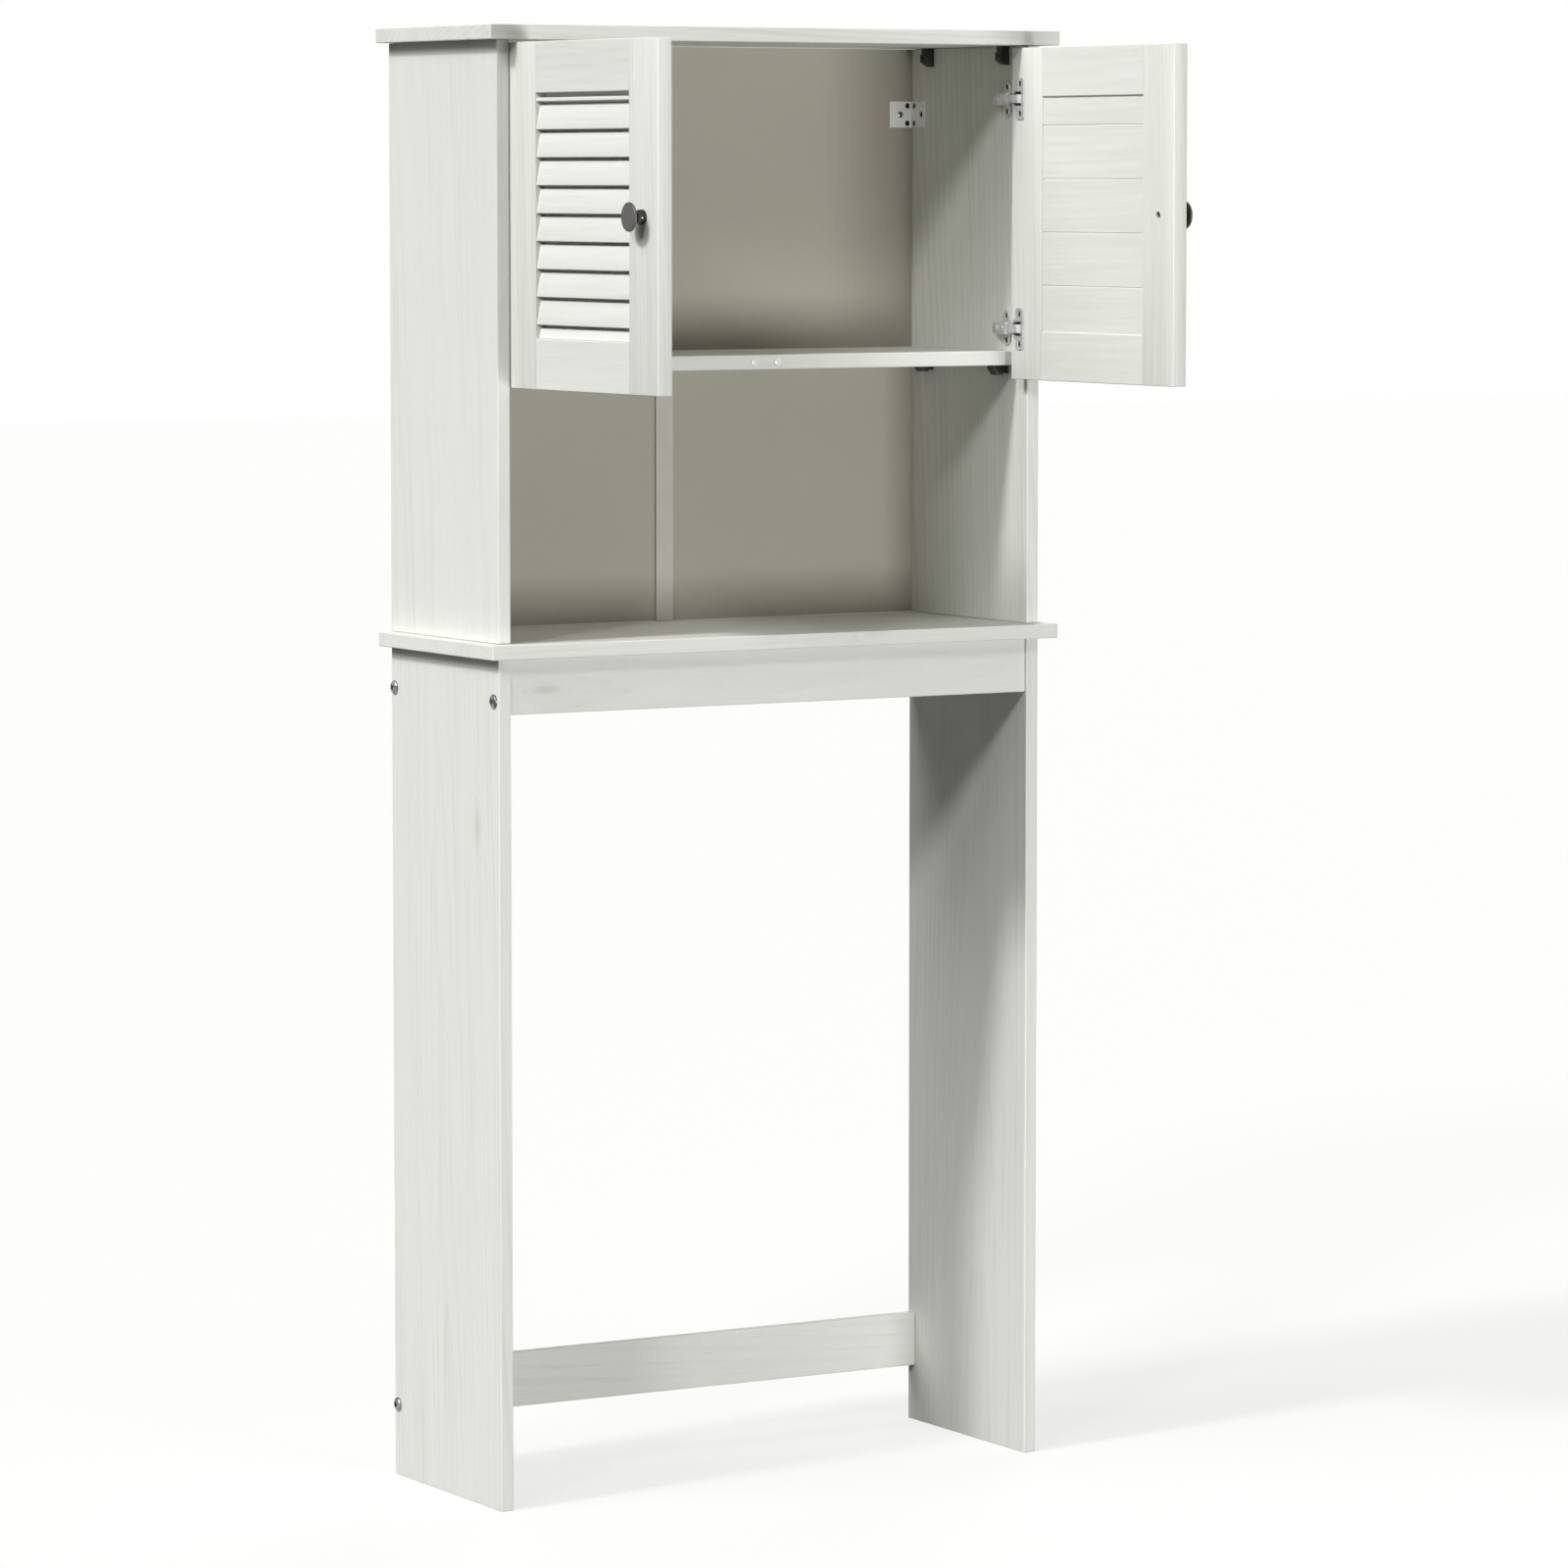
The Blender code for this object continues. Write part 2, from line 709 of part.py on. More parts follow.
# The plate has two slotted ears and a raised block that carries the arm.
def make_plate(word, side, level, z):
    ear, waist, tip = plate_ear / 2, plate_waist / 2, plate_tip / 2
    reach = plate_height / 2 - ear
    length = plate_length / 2
    upper = [(length, tip), (ear, waist)]
    upper += arc((0, reach), ear, 0, math.pi, 10)
    upper += [(-ear, waist), (-length, tip)]
    outline = upper + [(-a, -b) for a, b in upper]
    ears = (-plate_ear_spacing / 2, plate_ear_spacing / 2)
    slots = [slot_loop((0, lift), slot_width, slot_length) for lift in ears]
    name = f"{word}_hinge_plate_{level}"
    mesh = plate_mesh(name, [outline] + slots, plate_thick, lengthways)
    x = side * (inner_x - fit - plate_thick / 2)
    y = front_y + plate_set
    plate = add_piece(name, mesh, "nickel", (x, y, z))
    block = box_mesh(
        "block",
        side_span(side, inner_x - fit - plate_thick / 2, inner_x - fit - plate_thick - block_rise),
        (y - block_length / 2, y + block_length / 2),
        (z - block_width / 2, z + block_width / 2),
    )
    combine(plate, add_cutter(name + "_block", block), "UNION")


# Seen in plan, the arm runs forward from its round tail and ends in a nose hollowed round the hinge axis.
def make_arm(word, side, level, z):
    near = fit + plate_thick + block_rise + fit - (inner_x - axis_x)
    far = near + arm_thick
    tail = arm_tail - pivot_inset
    hollow = arc((0, 0), nose_inner, nose_end, nose_start, 9)
    shoulder = arc((0, 0), nose_outer, nose_start, nose_shoulder, 5)
    hollow[0] = (near, math.sqrt(nose_inner**2 - near**2))
    neck = (far, shoulder[-1][1] + arm_thick)
    end = [(far, tail - arm_tail_slope), (near + arm_thick * arm_tail_share, tail), (near, tail)]
    outline = hollow + shoulder + [neck] + end
    name = f"{word}_hinge_arm_{level}"
    mesh = plate_mesh(name, [mirrored(outline, side)], arm_width)
    arm = add_piece(name, mesh, "nickel", (side * axis_x, axis_y, z))
    half = arm_width / 2
    round_end = arc((tail - half, 0), half, -math.pi / 2, math.pi / 2, 12)
    round_end += [(-nose_outer, half + overrun), (-nose_outer, -half - overrun)]
    mesh = plate_mesh("round_end", [round_end], 2 * (nose_outer + arm_thick), lengthways)
    combine(arm, add_cutter(name + "_round_end", mesh, (side * axis_x, axis_y, z)), "INTERSECT")
    soften(arm, arm_round, 1)


def make_doors():
    for word, side in sides.items():
        axis = add_axis(f"{word}_door_axis", side, door_opening)
        link_axis = add_axis(f"{word}_link_axis", side, door_opening / 2)
        make_frame(word, side, axis)
        make_door_rails(word, side, axis)
        make_panel(word, side, axis)
        make_knob(word, side, axis)
        for level, z in hinge_heights.items():
            make_cup(word, side, axis, level, z)
            make_link(word, side, link_axis, level, z)
            make_plate(word, side, level, z)
            make_arm(word, side, level, z)


make_boards()
make_sides()
make_rails()
make_bolts()
make_back()
make_shelf()
make_connectors()
make_brackets()
make_doors()
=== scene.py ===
import json
import math

import bmesh
import bpy
from mathutils import Matrix, Vector

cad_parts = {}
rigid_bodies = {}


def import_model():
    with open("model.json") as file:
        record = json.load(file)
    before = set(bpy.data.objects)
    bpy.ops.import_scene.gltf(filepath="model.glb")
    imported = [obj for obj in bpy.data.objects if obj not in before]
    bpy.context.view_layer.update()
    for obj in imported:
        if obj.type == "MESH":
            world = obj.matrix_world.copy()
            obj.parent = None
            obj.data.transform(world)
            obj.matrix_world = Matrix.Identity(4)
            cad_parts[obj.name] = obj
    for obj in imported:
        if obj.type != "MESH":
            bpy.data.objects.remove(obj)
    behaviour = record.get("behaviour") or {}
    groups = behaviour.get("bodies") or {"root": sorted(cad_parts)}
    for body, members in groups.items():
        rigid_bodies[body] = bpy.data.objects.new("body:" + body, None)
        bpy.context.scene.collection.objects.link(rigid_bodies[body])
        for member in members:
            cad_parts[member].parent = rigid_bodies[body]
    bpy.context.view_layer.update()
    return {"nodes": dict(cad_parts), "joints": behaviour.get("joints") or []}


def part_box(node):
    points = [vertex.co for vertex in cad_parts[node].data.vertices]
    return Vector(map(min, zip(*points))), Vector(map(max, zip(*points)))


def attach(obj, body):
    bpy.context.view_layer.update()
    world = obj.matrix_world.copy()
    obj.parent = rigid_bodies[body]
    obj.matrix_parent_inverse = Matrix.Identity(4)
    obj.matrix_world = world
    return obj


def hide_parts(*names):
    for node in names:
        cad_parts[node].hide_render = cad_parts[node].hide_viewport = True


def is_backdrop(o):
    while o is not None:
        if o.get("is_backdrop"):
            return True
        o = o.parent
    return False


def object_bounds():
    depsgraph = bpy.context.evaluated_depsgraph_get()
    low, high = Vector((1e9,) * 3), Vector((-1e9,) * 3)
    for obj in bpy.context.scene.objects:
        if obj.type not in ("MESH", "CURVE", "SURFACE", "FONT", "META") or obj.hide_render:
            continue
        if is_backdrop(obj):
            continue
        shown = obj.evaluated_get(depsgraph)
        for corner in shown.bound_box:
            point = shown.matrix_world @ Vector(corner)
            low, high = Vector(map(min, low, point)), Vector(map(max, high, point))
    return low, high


# Washing machine cabinet in white-washed pine, shown with both doors open

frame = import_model()
nodes = frame["nodes"]
scene = bpy.context.scene
scene.view_settings.view_transform = "Standard"
for spare in [o for o in bpy.data.objects if o.name in ("Cube", "Light", "Camera")]:
    bpy.data.objects.remove(spare, do_unlink=True)
hands = {"left": -1, "right": 1}
levels = ("upper", "lower")
gap = 0.0003  # between pieces that touch
weld = 0.000001  # points this near are one
quarter = math.pi / 2
print("frame loaded,", len(nodes), "nodes")


# Node helpers

def feed(socket, value):  # a number, a tuple, an output, or a node for its first output
    if isinstance(value, bpy.types.Node):
        value = value.outputs[0]
    if isinstance(value, bpy.types.NodeSocket):
        socket.id_data.links.new(value, socket)
    else:
        socket.default_value = value


def setUp(node, *inOrder, **named):  # names with a capital are sockets, the others are settings
    for socket, value in zip(node.inputs, inOrder):
        feed(socket, value)
    for name, value in named.items():
        if name[0].isupper():
            feed(node.inputs[name.replace("_", " ")], value)
        else:
            setattr(node, name, value)
    return node


def addNode(tree, kind, *inOrder, **named):
    return setUp(tree.nodes.new(kind), *inOrder, **named)


def shaderNode(tree, kind, *inOrder, **named):
    return addNode(tree, "ShaderNode" + kind, *inOrder, **named)


def geometryNode(tree, kind, *inOrder, **named):
    return addNode(tree, "GeometryNode" + kind, *inOrder, **named)


def calc(tree, operation, *values, clamp=False):
    return shaderNode(tree, "Math", *values, operation=operation, use_clamp=clamp).outputs[0]


def vectorCalc(tree, operation, *values):
    node = shaderNode(tree, "VectorMath", *values, operation=operation)
    return node.outputs["Value" if operation == "LENGTH" else "Vector"]


def ranged(tree, value, low, high, start=0.0, end=1.0, kind="SMOOTHSTEP"):
    values = (value, low, high, start, end)
    return shaderNode(tree, "MapRange", *values, interpolation_type=kind, clamp=True).outputs[0]


def mixColour(tree, factor, first, second):
    node = shaderNode(tree, "Mix", data_type="RGBA")
    for index, value in ((0, factor), (6, first), (7, second)):
        feed(node.inputs[index], value)
    return node.outputs[2]


def rampOf(tree, value, stops):
    ramp = shaderNode(tree, "ValToRGB", value)
    while len(ramp.color_ramp.elements) < len(stops):
        ramp.color_ramp.elements.new(0.5)
    for element, (spot, colour) in zip(ramp.color_ramp.elements, stops):
        element.position = spot
        element.color = colour
    return ramp.outputs["Color"]


def stretchedNoise(tree, vector, scale, detail, roughness=0.55):
    stretched = vectorCalc(tree, "MULTIPLY", vector, scale)
    return shaderNode(tree, "TexNoise", stretched, Scale=1.0, Detail=detail, Roughness=roughness)


def layOut(tree):  # a node's column is its distance from the output
    columns = {node.name: 0 for node in tree.nodes}
    for _ in tree.nodes:
        for wire in tree.links:
            start, end = wire.from_node.name, wire.to_node.name
            columns[start] = max(columns[start], columns[end] + 1)
    rows = {}
    for name, column in columns.items():
        rows[column] = rows.get(column, 0) + 1
        tree.nodes[name].location = (-200 * column, -240 * rows[column])


# Camera, lamps and floor

shot = {
    "place": (-3.7248, -6.3388, 1.4476),
    "turn": -30.3851,  # degrees about the upright
    "tilt": -4.9019,  # degrees, downwards below zero
    "lens": 154.1356,
    "slide": -0.02,
}
lamps = {  # direction that the light comes from, strength on a facing surface, spread in degrees
    "keyLamp": ((-0.72, -0.12, 0.68), 0.51, 6),
    "windowLamp": ((-0.78, -0.02, 0.62), 0.43, 40),
    "cornerLamp": ((-0.70, -0.52, 0.48), 0.24, 8),
    "rearLamp": ((0.72, 0.66, 0.22), 0.36, 30),
}
softBox = {"place": (0.4, -4.5, 0.45), "size": 1.3, "watts": 146}
studio = {
    "skyHigh": 0.32,
    "skyLow": 0.03,
    "skyTint": (1.0, 1.0, 0.85, 1),
    "floorShown": (0.88, 0.88, 0.88, 1),
    "floorBounce": (0.04, 0.04, 0.036, 1),
    "floorGlow": 0.72,
    "floorReach": 30,
    "lampReach": 6,  # how far off the lamps stand
}


def place(name, data):
    holder = bpy.data.objects.new(name, data)
    scene.collection.objects.link(holder)
    return holder


def seenDirectly(tree):  # 1 for rays that show the backdrop itself
    rays = shaderNode(tree, "LightPath").outputs
    seen = calc(tree, "MAXIMUM", rays["Is Camera Ray"], rays["Is Glossy Ray"])
    return calc(tree, "MAXIMUM", seen, rays["Is Transmission Ray"])


def makeCamera():
    camera = place("camera", bpy.data.cameras.new("camera"))
    camera.location = shot["place"]
    camera.rotation_euler = (math.radians(90 + shot["tilt"]), 0, math.radians(shot["turn"]))
    camera.data.lens = shot["lens"]
    camera.data.sensor_width = 36
    camera.data.shift_y = shot["slide"]
    camera.data.clip_end = 200
    scene.camera = camera


def makeLamps():
    for name, (source, strength, spread) in lamps.items():
        sun = bpy.data.lights.new(name, "SUN")
        sun.energy = strength * math.pi
        sun.angle = math.radians(spread)
        holder = place(name, sun)
        holder.rotation_euler = Vector(source).to_track_quat("Z", "Y").to_euler()
        holder.location = Vector(source) * studio["lampReach"]
    panel = bpy.data.lights.new("softBox", "AREA")
    panel.size = softBox["size"]
    panel.energy = softBox["watts"]
    holder = place("softBox", panel)
    holder.location = softBox["place"]
    holder.rotation_euler = (math.radians(90), 0, 0)
    holder.visible_camera = False


def makeSky():
    world = bpy.data.worlds.new("studioSky")
    world.use_nodes = True
    tree = world.node_tree
    ways = shaderNode(tree, "TexCoord").outputs["Generated"]
    height = shaderNode(tree, "SeparateXYZ", ways).outputs["Z"]
    soft = ranged(tree, height, 0.1, 1.0, studio["skyLow"], studio["skyHigh"])
    seen = seenDirectly(tree)
    strength = shaderNode(tree, "Mix", seen, A=soft, B=1.0)
    tint = mixColour(tree, seen, studio["skyTint"], (1, 1, 1, 1))
    setUp(tree.nodes["Background"], tint, strength)
    layOut(tree)
    scene.world = world


def makeFloor():
    reach = studio["floorReach"]
    mesh = bpy.data.meshes.new("floor")
    corners = [(-reach, -reach, 0), (reach, -reach, 0), (reach, reach, 0), (-reach, reach, 0)]
    mesh.from_pydata(corners, [], [(0, 1, 2, 3)])
    pale = bpy.data.materials.new("paleFloor")
    pale.use_nodes = True
    tree = pale.node_tree
    seen = seenDirectly(tree)
    colour = mixColour(tree, seen, studio["floorBounce"], studio["floorShown"])
    matt = setUp(tree.nodes["Principled BSDF"], colour, Roughness=0.9, Specular_IOR_Level=0.1)
    share = calc(tree, "MULTIPLY", seen, studio["floorGlow"])
    blend = shaderNode(tree, "MixShader", share, matt, shaderNode(tree, "Emission", Strength=1.0))
    setUp(tree.nodes["Material Output"], blend)
    layOut(tree)
    mesh.materials.append(pale)
    place("floor", mesh)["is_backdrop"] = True


makeCamera()
makeLamps()
makeSky()
makeFloor()
print("camera, lamps, sky and floor set")


# Washed pine

pine = {
    "pale": (0.795, 0.805, 0.770, 1),
    "mid": (0.768, 0.779, 0.742, 1),
    "grey": (0.660, 0.675, 0.620, 1),
    "pore": (0.560, 0.575, 0.510, 1),
    "knot": (0.600, 0.600, 0.540, 1),
    # lighter colour of the arrises: partly wear, partly a painted highlight where the rounded edges catch the light
    "edge": (0.812, 0.820, 0.790, 1),
    "ringGap": 0.0075,
    "edgeWidth": 0.0013,
    "bump": 0.00018,
    "driftScale": (5, 5, 0.9),  # how often each noise repeats across and along the grain
    "wobbleScale": (28, 28, 1.6),
    "streakScale": (230, 230, 4.5),
    "broadScale": (42, 42, 1.1),
    "cloudScale": (8, 8, 2.2),
    "poreScale": (1000, 1000, 46),
    "edgeBreakupScale": (60, 60, 60),
    "drift": (0.03, 0.03, 0.0),
    "wobble": 1.4,
    "knotPull": 2.6,
    "cloud": 0.14,
    "poreShare": 0.16,
    "knotShare": 0.75,
}
grainOrder = {"X": (1, 2, 0), "Y": (2, 0, 1), "Z": (0, 1, 2)}  # puts the grain direction last


def newGroup(name, ins, outs):
    group = bpy.data.node_groups.new(name, "ShaderNodeTree")
    for socket, kind, value in ins:
        made = group.interface.new_socket(socket, in_out="INPUT", socket_type="NodeSocket" + kind)
        made.default_value = value
    for socket, kind in outs:
        group.interface.new_socket(socket, in_out="OUTPUT", socket_type="NodeSocket" + kind)
    return group, addNode(group, "NodeGroupInput").outputs, addNode(group, "NodeGroupOutput")


def makePineGrain():  # grain along Z of the vector, growth rings round its Z axis
    ins = [
        ("Vector", "Vector", (0, 0, 0)),
        ("Rings", "Float", 0.3),
        ("Streaks", "Float", 0.22),
        ("Dullness", "Float", 0.0),
        ("Knot Place", "Vector", (9, 9, 9)),
        ("Knot Size", "Float", 0.02),
    ]
    tree, ins, end = newGroup("pineGrain", ins, [("Colour", "Color"), ("Tone", "Float"), ("Height", "Float")])
    vector = ins["Vector"]
    drift = stretchedNoise(tree, vector, pine["driftScale"], 2).outputs["Color"]
    centred = vectorCalc(tree, "SUBTRACT", drift, (0.5, 0.5, 0.5))
    wavy = vectorCalc(tree, "MULTIPLY_ADD", centred, pine["drift"], vector)

    away = vectorCalc(tree, "SUBTRACT", vector, ins["Knot Place"])
    away = vectorCalc(tree, "MULTIPLY", away, (1.0, 1.0, 0.3))
    away = calc(tree, "DIVIDE", vectorCalc(tree, "LENGTH", away), ins["Knot Size"])
    bulge = ranged(tree, away, 0.0, 1.0, 1.0, 0.0)
    core = calc(tree, "POWER", bulge, 7.0)

    wobble = stretchedNoise(tree, wavy, pine["wobbleScale"], 3)
    reach = vectorCalc(tree, "LENGTH", vectorCalc(tree, "MULTIPLY", wavy, (1, 1, 0)))
    count = calc(tree, "MULTIPLY", reach, 1 / pine["ringGap"])
    count = calc(tree, "MULTIPLY_ADD", wobble, pine["wobble"], count)
    count = calc(tree, "MULTIPLY_ADD", bulge, pine["knotPull"], count)
    late = calc(tree, "POWER", calc(tree, "FRACT", count), 2.2)

    streaks = stretchedNoise(tree, wavy, pine["streakScale"], 5, 0.62)
    broad = stretchedNoise(tree, wavy, pine["broadScale"], 3)
    cloud = stretchedNoise(tree, vector, pine["cloudScale"], 2)
    pores = stretchedNoise(tree, wavy, pine["poreScale"], 2)
    tone = calc(tree, "MULTIPLY", late, ins["Rings"])
    tone = calc(tree, "MULTIPLY_ADD", ranged(tree, streaks, 0.36, 0.66), ins["Streaks"], tone)
    tone = calc(tree, "MULTIPLY_ADD", ranged(tree, broad, 0.34, 0.68), ins["Streaks"], tone)
    tone = calc(tree, "MULTIPLY_ADD", ranged(tree, cloud, 0.35, 0.65), pine["cloud"], tone)
    # painted light and shade: a tone offset per board, darker above zero and lighter below, for how bright the light
    # leaves it
    tone = calc(tree, "ADD", tone, ins["Dullness"])
    tone = calc(tree, "MULTIPLY_ADD", bulge, 0.10, tone, clamp=True)
    colour = rampOf(tree, tone, [(0.0, pine["pale"]), (0.42, pine["mid"]), (1.0, pine["grey"])])
    poreMask = ranged(tree, pores, 0.60, 0.72)
    colour = mixColour(tree, calc(tree, "MULTIPLY", poreMask, pine["poreShare"]), colour, pine["pore"])
    colour = mixColour(tree, calc(tree, "MULTIPLY", core, pine["knotShare"]), colour, pine["knot"])
    height = calc(tree, "MULTIPLY_ADD", poreMask, -0.8, calc(tree, "MULTIPLY", tone, -0.6))
    setUp(end, colour, tone, height)
    layOut(tree)
    return tree


def makeBoardEdge():  # 1 on a board's arrises, 0 past the given width
    ins = [
        ("Vector", "Vector", (0, 0, 0)),
        ("Low", "Vector", (0, 0, 0)),
        ("High", "Vector", (1, 1, 1)),
        ("Width", "Float", 0.001),
    ]
    tree, ins, end = newGroup("boardEdge", ins, [("Mask", "Float")])
    fromLow = vectorCalc(tree, "SUBTRACT", ins["Vector"], ins["Low"])
    fromHigh = vectorCalc(tree, "SUBTRACT", ins["High"], ins["Vector"])
    nearest = vectorCalc(tree, "MINIMUM", fromLow, fromHigh)
    x, y, z = shaderNode(tree, "SeparateXYZ", nearest).outputs
    rest = calc(tree, "MINIMUM", calc(tree, "MAXIMUM", x, y), z)
    second = calc(tree, "MAXIMUM", calc(tree, "MINIMUM", x, y), rest)  # the middle one of the three
    share = calc(tree, "DIVIDE", second, ins["Width"])
    setUp(end, calc(tree, "SUBTRACT", 1.0, share, clamp=True))
    layOut(tree)
    return tree


pineGrain = makePineGrain()
boardEdge = makeBoardEdge()


def newFinish(name):
    material = bpy.data.materials.new(name)
    material.use_nodes = True
    tree = material.node_tree
    return material, tree, shaderNode(tree, "TexCoord").outputs["Object"]


def finished(material, height, strength, distance, colour, **values):  # sets the shader, with its bump
    tree = material.node_tree
    bump = shaderNode(tree, "Bump", Strength=strength, Distance=distance, Height=height)
    setUp(tree.nodes["Principled BSDF"], colour, Normal=bump, **values)
    layOut(tree)
    return material


# A board is its grain direction, where the heart of the log lies from its middle, the log's tilt,
# how far along the log it was cut, the strength of its rings, a tone offset of painted shade (darker above zero,
# lighter below) for how the light falls on it and, on some, streaks or a knot
def pineFinish(name, box, grain, heart, tilt, along, rings, dull, streaks=0.22, knot=None):
    low, high = box
    order = grainOrder[grain]
    middle = [(low[i] + high[i]) / 2 for i in order]
    shift = Vector((heart[0] - middle[0], heart[1] - middle[1], along))
    material, tree, vector = newFinish(name)
    split = shaderNode(tree, "SeparateXYZ", vector).outputs
    joined = shaderNode(tree, "CombineXYZ", *(split[source] for source in order))
    moved = shaderNode(tree, "Mapping", joined, shift)
    tipped = shaderNode(tree, "Mapping", moved, Rotation=(*tilt, 0))
    wood = shaderNode(tree, "Group", node_tree=pineGrain, Vector=tipped, Rings=rings, Dullness=dull, Streaks=streaks)
    if knot:
        spot, size = knot
        lean = Matrix.Rotation(tilt[1], 3, "Y") @ Matrix.Rotation(tilt[0], 3, "X")
        setUp(wood, Knot_Place=lean @ (Vector([spot[i] for i in order]) + shift), Knot_Size=size)
    edge = shaderNode(tree, "Group", node_tree=boardEdge, Vector=vector, Low=low, High=high, Width=pine["edgeWidth"])
    # the arrises are painted lighter, partly as wear and partly as a painted highlight of light caught on the
    # rounded edges, broken up by noise
    edgeBreakup = stretchedNoise(tree, vector, pine["edgeBreakupScale"], 2)
    wearAndHighlight = calc(tree, "MULTIPLY", edge, ranged(tree, edgeBreakup, 0.3, 0.7, 0.25, 0.8))
    colour = mixColour(tree, wearAndHighlight, wood.outputs["Colour"], pine["edge"])
    rough = ranged(tree, wood.outputs["Tone"], 0.0, 1.0, 0.46, 0.62, "LINEAR")
    height = wood.outputs["Height"]
    return finished(material, height, 0.5, pine["bump"], colour, Roughness=rough, Specular_IOR_Level=0.12)


# Back boards, metals and plastics

backBoard = {
    "light": (0.405, 0.385, 0.330, 1),
    "dark": (0.377, 0.357, 0.304, 1),
    "fibreScale": (420, 420, 300),
    "cloudScale": (3, 3, 4),
    "bump": 0.00006,
}
metalSkin = {"scuffScale": (900, 900, 900), "stainScale": (120, 120, 120), "bump": 0.00003}
metals = {  # colour, tarnish and painted shade, roughness, metallic, share of the tarnish and painted shade
    "nickelPlate": ((0.73, 0.73, 0.755, 1), (0.52, 0.51, 0.515, 1), 0.29, 0.52, 0.55),
    # the guide is a near-white, barely metallic copy of the hinge metal: a painted highlight for the bright block at
    # the cup's mouth
    "brightGuide": ((0.90, 0.90, 0.90, 1), (0.80, 0.80, 0.79, 1), 0.35, 0.10, 0.4),
    # on the bolts and the bracket screws: a dark zinc with near-black patches over most of each head, painted shade
    # in the recesses and painted dark reflections on the heads
    "boltZinc": ((0.33, 0.33, 0.345, 1), (0.04, 0.04, 0.042, 1), 0.13, 1.0, 0.85),
    "knobBronze": ((0.105, 0.099, 0.094, 1), (0.080, 0.075, 0.071, 1), 0.38, 0.70, 0.5),
    # a darker, glossier copy of the knob's bronze: the dark reflection on the foot's dome is painted into its
    # colour; the knob screws take it too
    "knobFoot": ((0.060, 0.056, 0.053, 1), (0.030, 0.028, 0.026, 1), 0.14, 0.90, 0.5),
}
plasticSkin = {"mottleScale": (60, 60, 60), "bump": 0.00005}
plastics = {  # colour, second colour, roughness, grain per metre, coat
    "blackPlastic": ((0.010, 0.010, 0.011, 1), (0.018, 0.018, 0.020, 1), 0.42, 1400, 0.0),
    "whiteEnamel": ((0.93, 0.93, 0.91, 1), (0.90, 0.90, 0.88, 1), 0.34, 900, 0.2),
    "milkyRubber": ((0.90, 0.90, 0.89, 1), (0.84, 0.84, 0.82, 1), 0.28, 1600, 0.4),
    # near-black for painted shade: the sheets in the empty slots and holes, and the housings in the cups' mouths
    "darkHollow": ((0.004, 0.004, 0.004, 1), (0.008, 0.008, 0.007, 1), 0.85, 700, 0.0),
    "stripBeige": ((0.500, 0.472, 0.424, 1), (0.478, 0.451, 0.405, 1), 0.50, 700, 0.0),
}


def backFinish(name):
    material, tree, vector = newFinish(name)
    fibres = stretchedNoise(tree, vector, backBoard["fibreScale"], 3)
    clouds = stretchedNoise(tree, vector, backBoard["cloudScale"], 2)
    mix = calc(tree, "MULTIPLY", ranged(tree, fibres, 0.3, 0.7), 0.3)
    mix = calc(tree, "MULTIPLY_ADD", ranged(tree, clouds, 0.3, 0.7), 0.6, mix)
    colour = mixColour(tree, mix, backBoard["light"], backBoard["dark"])
    return finished(material, fibres, 0.3, backBoard["bump"], colour, Roughness=0.62, Specular_IOR_Level=0.3)


def metalFinish(name, colour, tarnishAndShade, roughness, metallic, share):
    material, tree, vector = newFinish(name)
    scuffs = stretchedNoise(tree, vector, metalSkin["scuffScale"], 3)
    stains = stretchedNoise(tree, vector, metalSkin["stainScale"], 4)
    colour = mixColour(tree, ranged(tree, stains, 0.42, 0.68, 0.0, share), colour, tarnishAndShade)
    rough = ranged(tree, scuffs, 0.3, 0.75, roughness * 0.8, roughness * 1.5, "LINEAR")
    return finished(material, scuffs, 0.35, metalSkin["bump"], colour, Roughness=rough, Metallic=metallic)


def plasticFinish(name, colour, second, roughness, grain, coat):
    material, tree, vector = newFinish(name)
    skin = stretchedNoise(tree, vector, (grain, grain, grain), 2)
    mottle = stretchedNoise(tree, vector, plasticSkin["mottleScale"], 3)
    colour = mixColour(tree, ranged(tree, mottle, 0.35, 0.7), colour, second)
    rough = ranged(tree, skin, 0.3, 0.7, roughness * 0.85, roughness * 1.2)
    return finished(material, skin, 0.4, plasticSkin["bump"], colour, Roughness=rough, Coat_Weight=coat)


backGrey = backFinish("backGrey")
finishes = {name: metalFinish(name, *values) for name, values in metals.items()}
finishes.update({name: plasticFinish(name, *values) for name, values in plastics.items()})
print("finishes made:", len(finishes) + 2)  # with the pine and the back boards


# Boards that keep their own solids

boards = {  # grain, heart, tilt, place along the log, rings, painted shade (a tone offset for how the light falls on the board)
    "left_lower_side": ("Z", (0.045, 0.02), (0.035, 0.02), 0.3, 0.26, 0.05),
    "right_lower_side": ("Z", (0.050, -0.03), (-0.03, 0.02), 1.9, 0.26, 0.05),
    "left_upper_side": ("Z", (0.060, 0.05), (0.04, -0.02), 2.7, 0.22, 0.05),
    "right_upper_side": ("Z", (0.055, -0.02), (0.03, 0.02), 3.6, 0.40, 0.05),
    "front_apron": ("X", (0.05, 0.02), (0.02, 0.03), 0.8, 0.28, -0.20),
    "rear_top_rail": ("X", (0.05, 0.01), (0.02, -0.03), 5.1, 0.28, 0.0),
    "rear_bottom_rail": ("X", (0.06, 0.02), (-0.02, 0.03), 6.4, 0.28, 0.0),
    "middle_board": ("X", (0.03, 0.05), (0.03, 0.02), 7.2, 0.30, 0.0),
    "top_board": ("X", (0.02, 0.06), (-0.03, 0.02), 8.3, 0.30, 0.20),
    "shelf": ("X", (0.03, 0.05), (0.02, 0.03), 9.6, 0.24, -0.22),
}
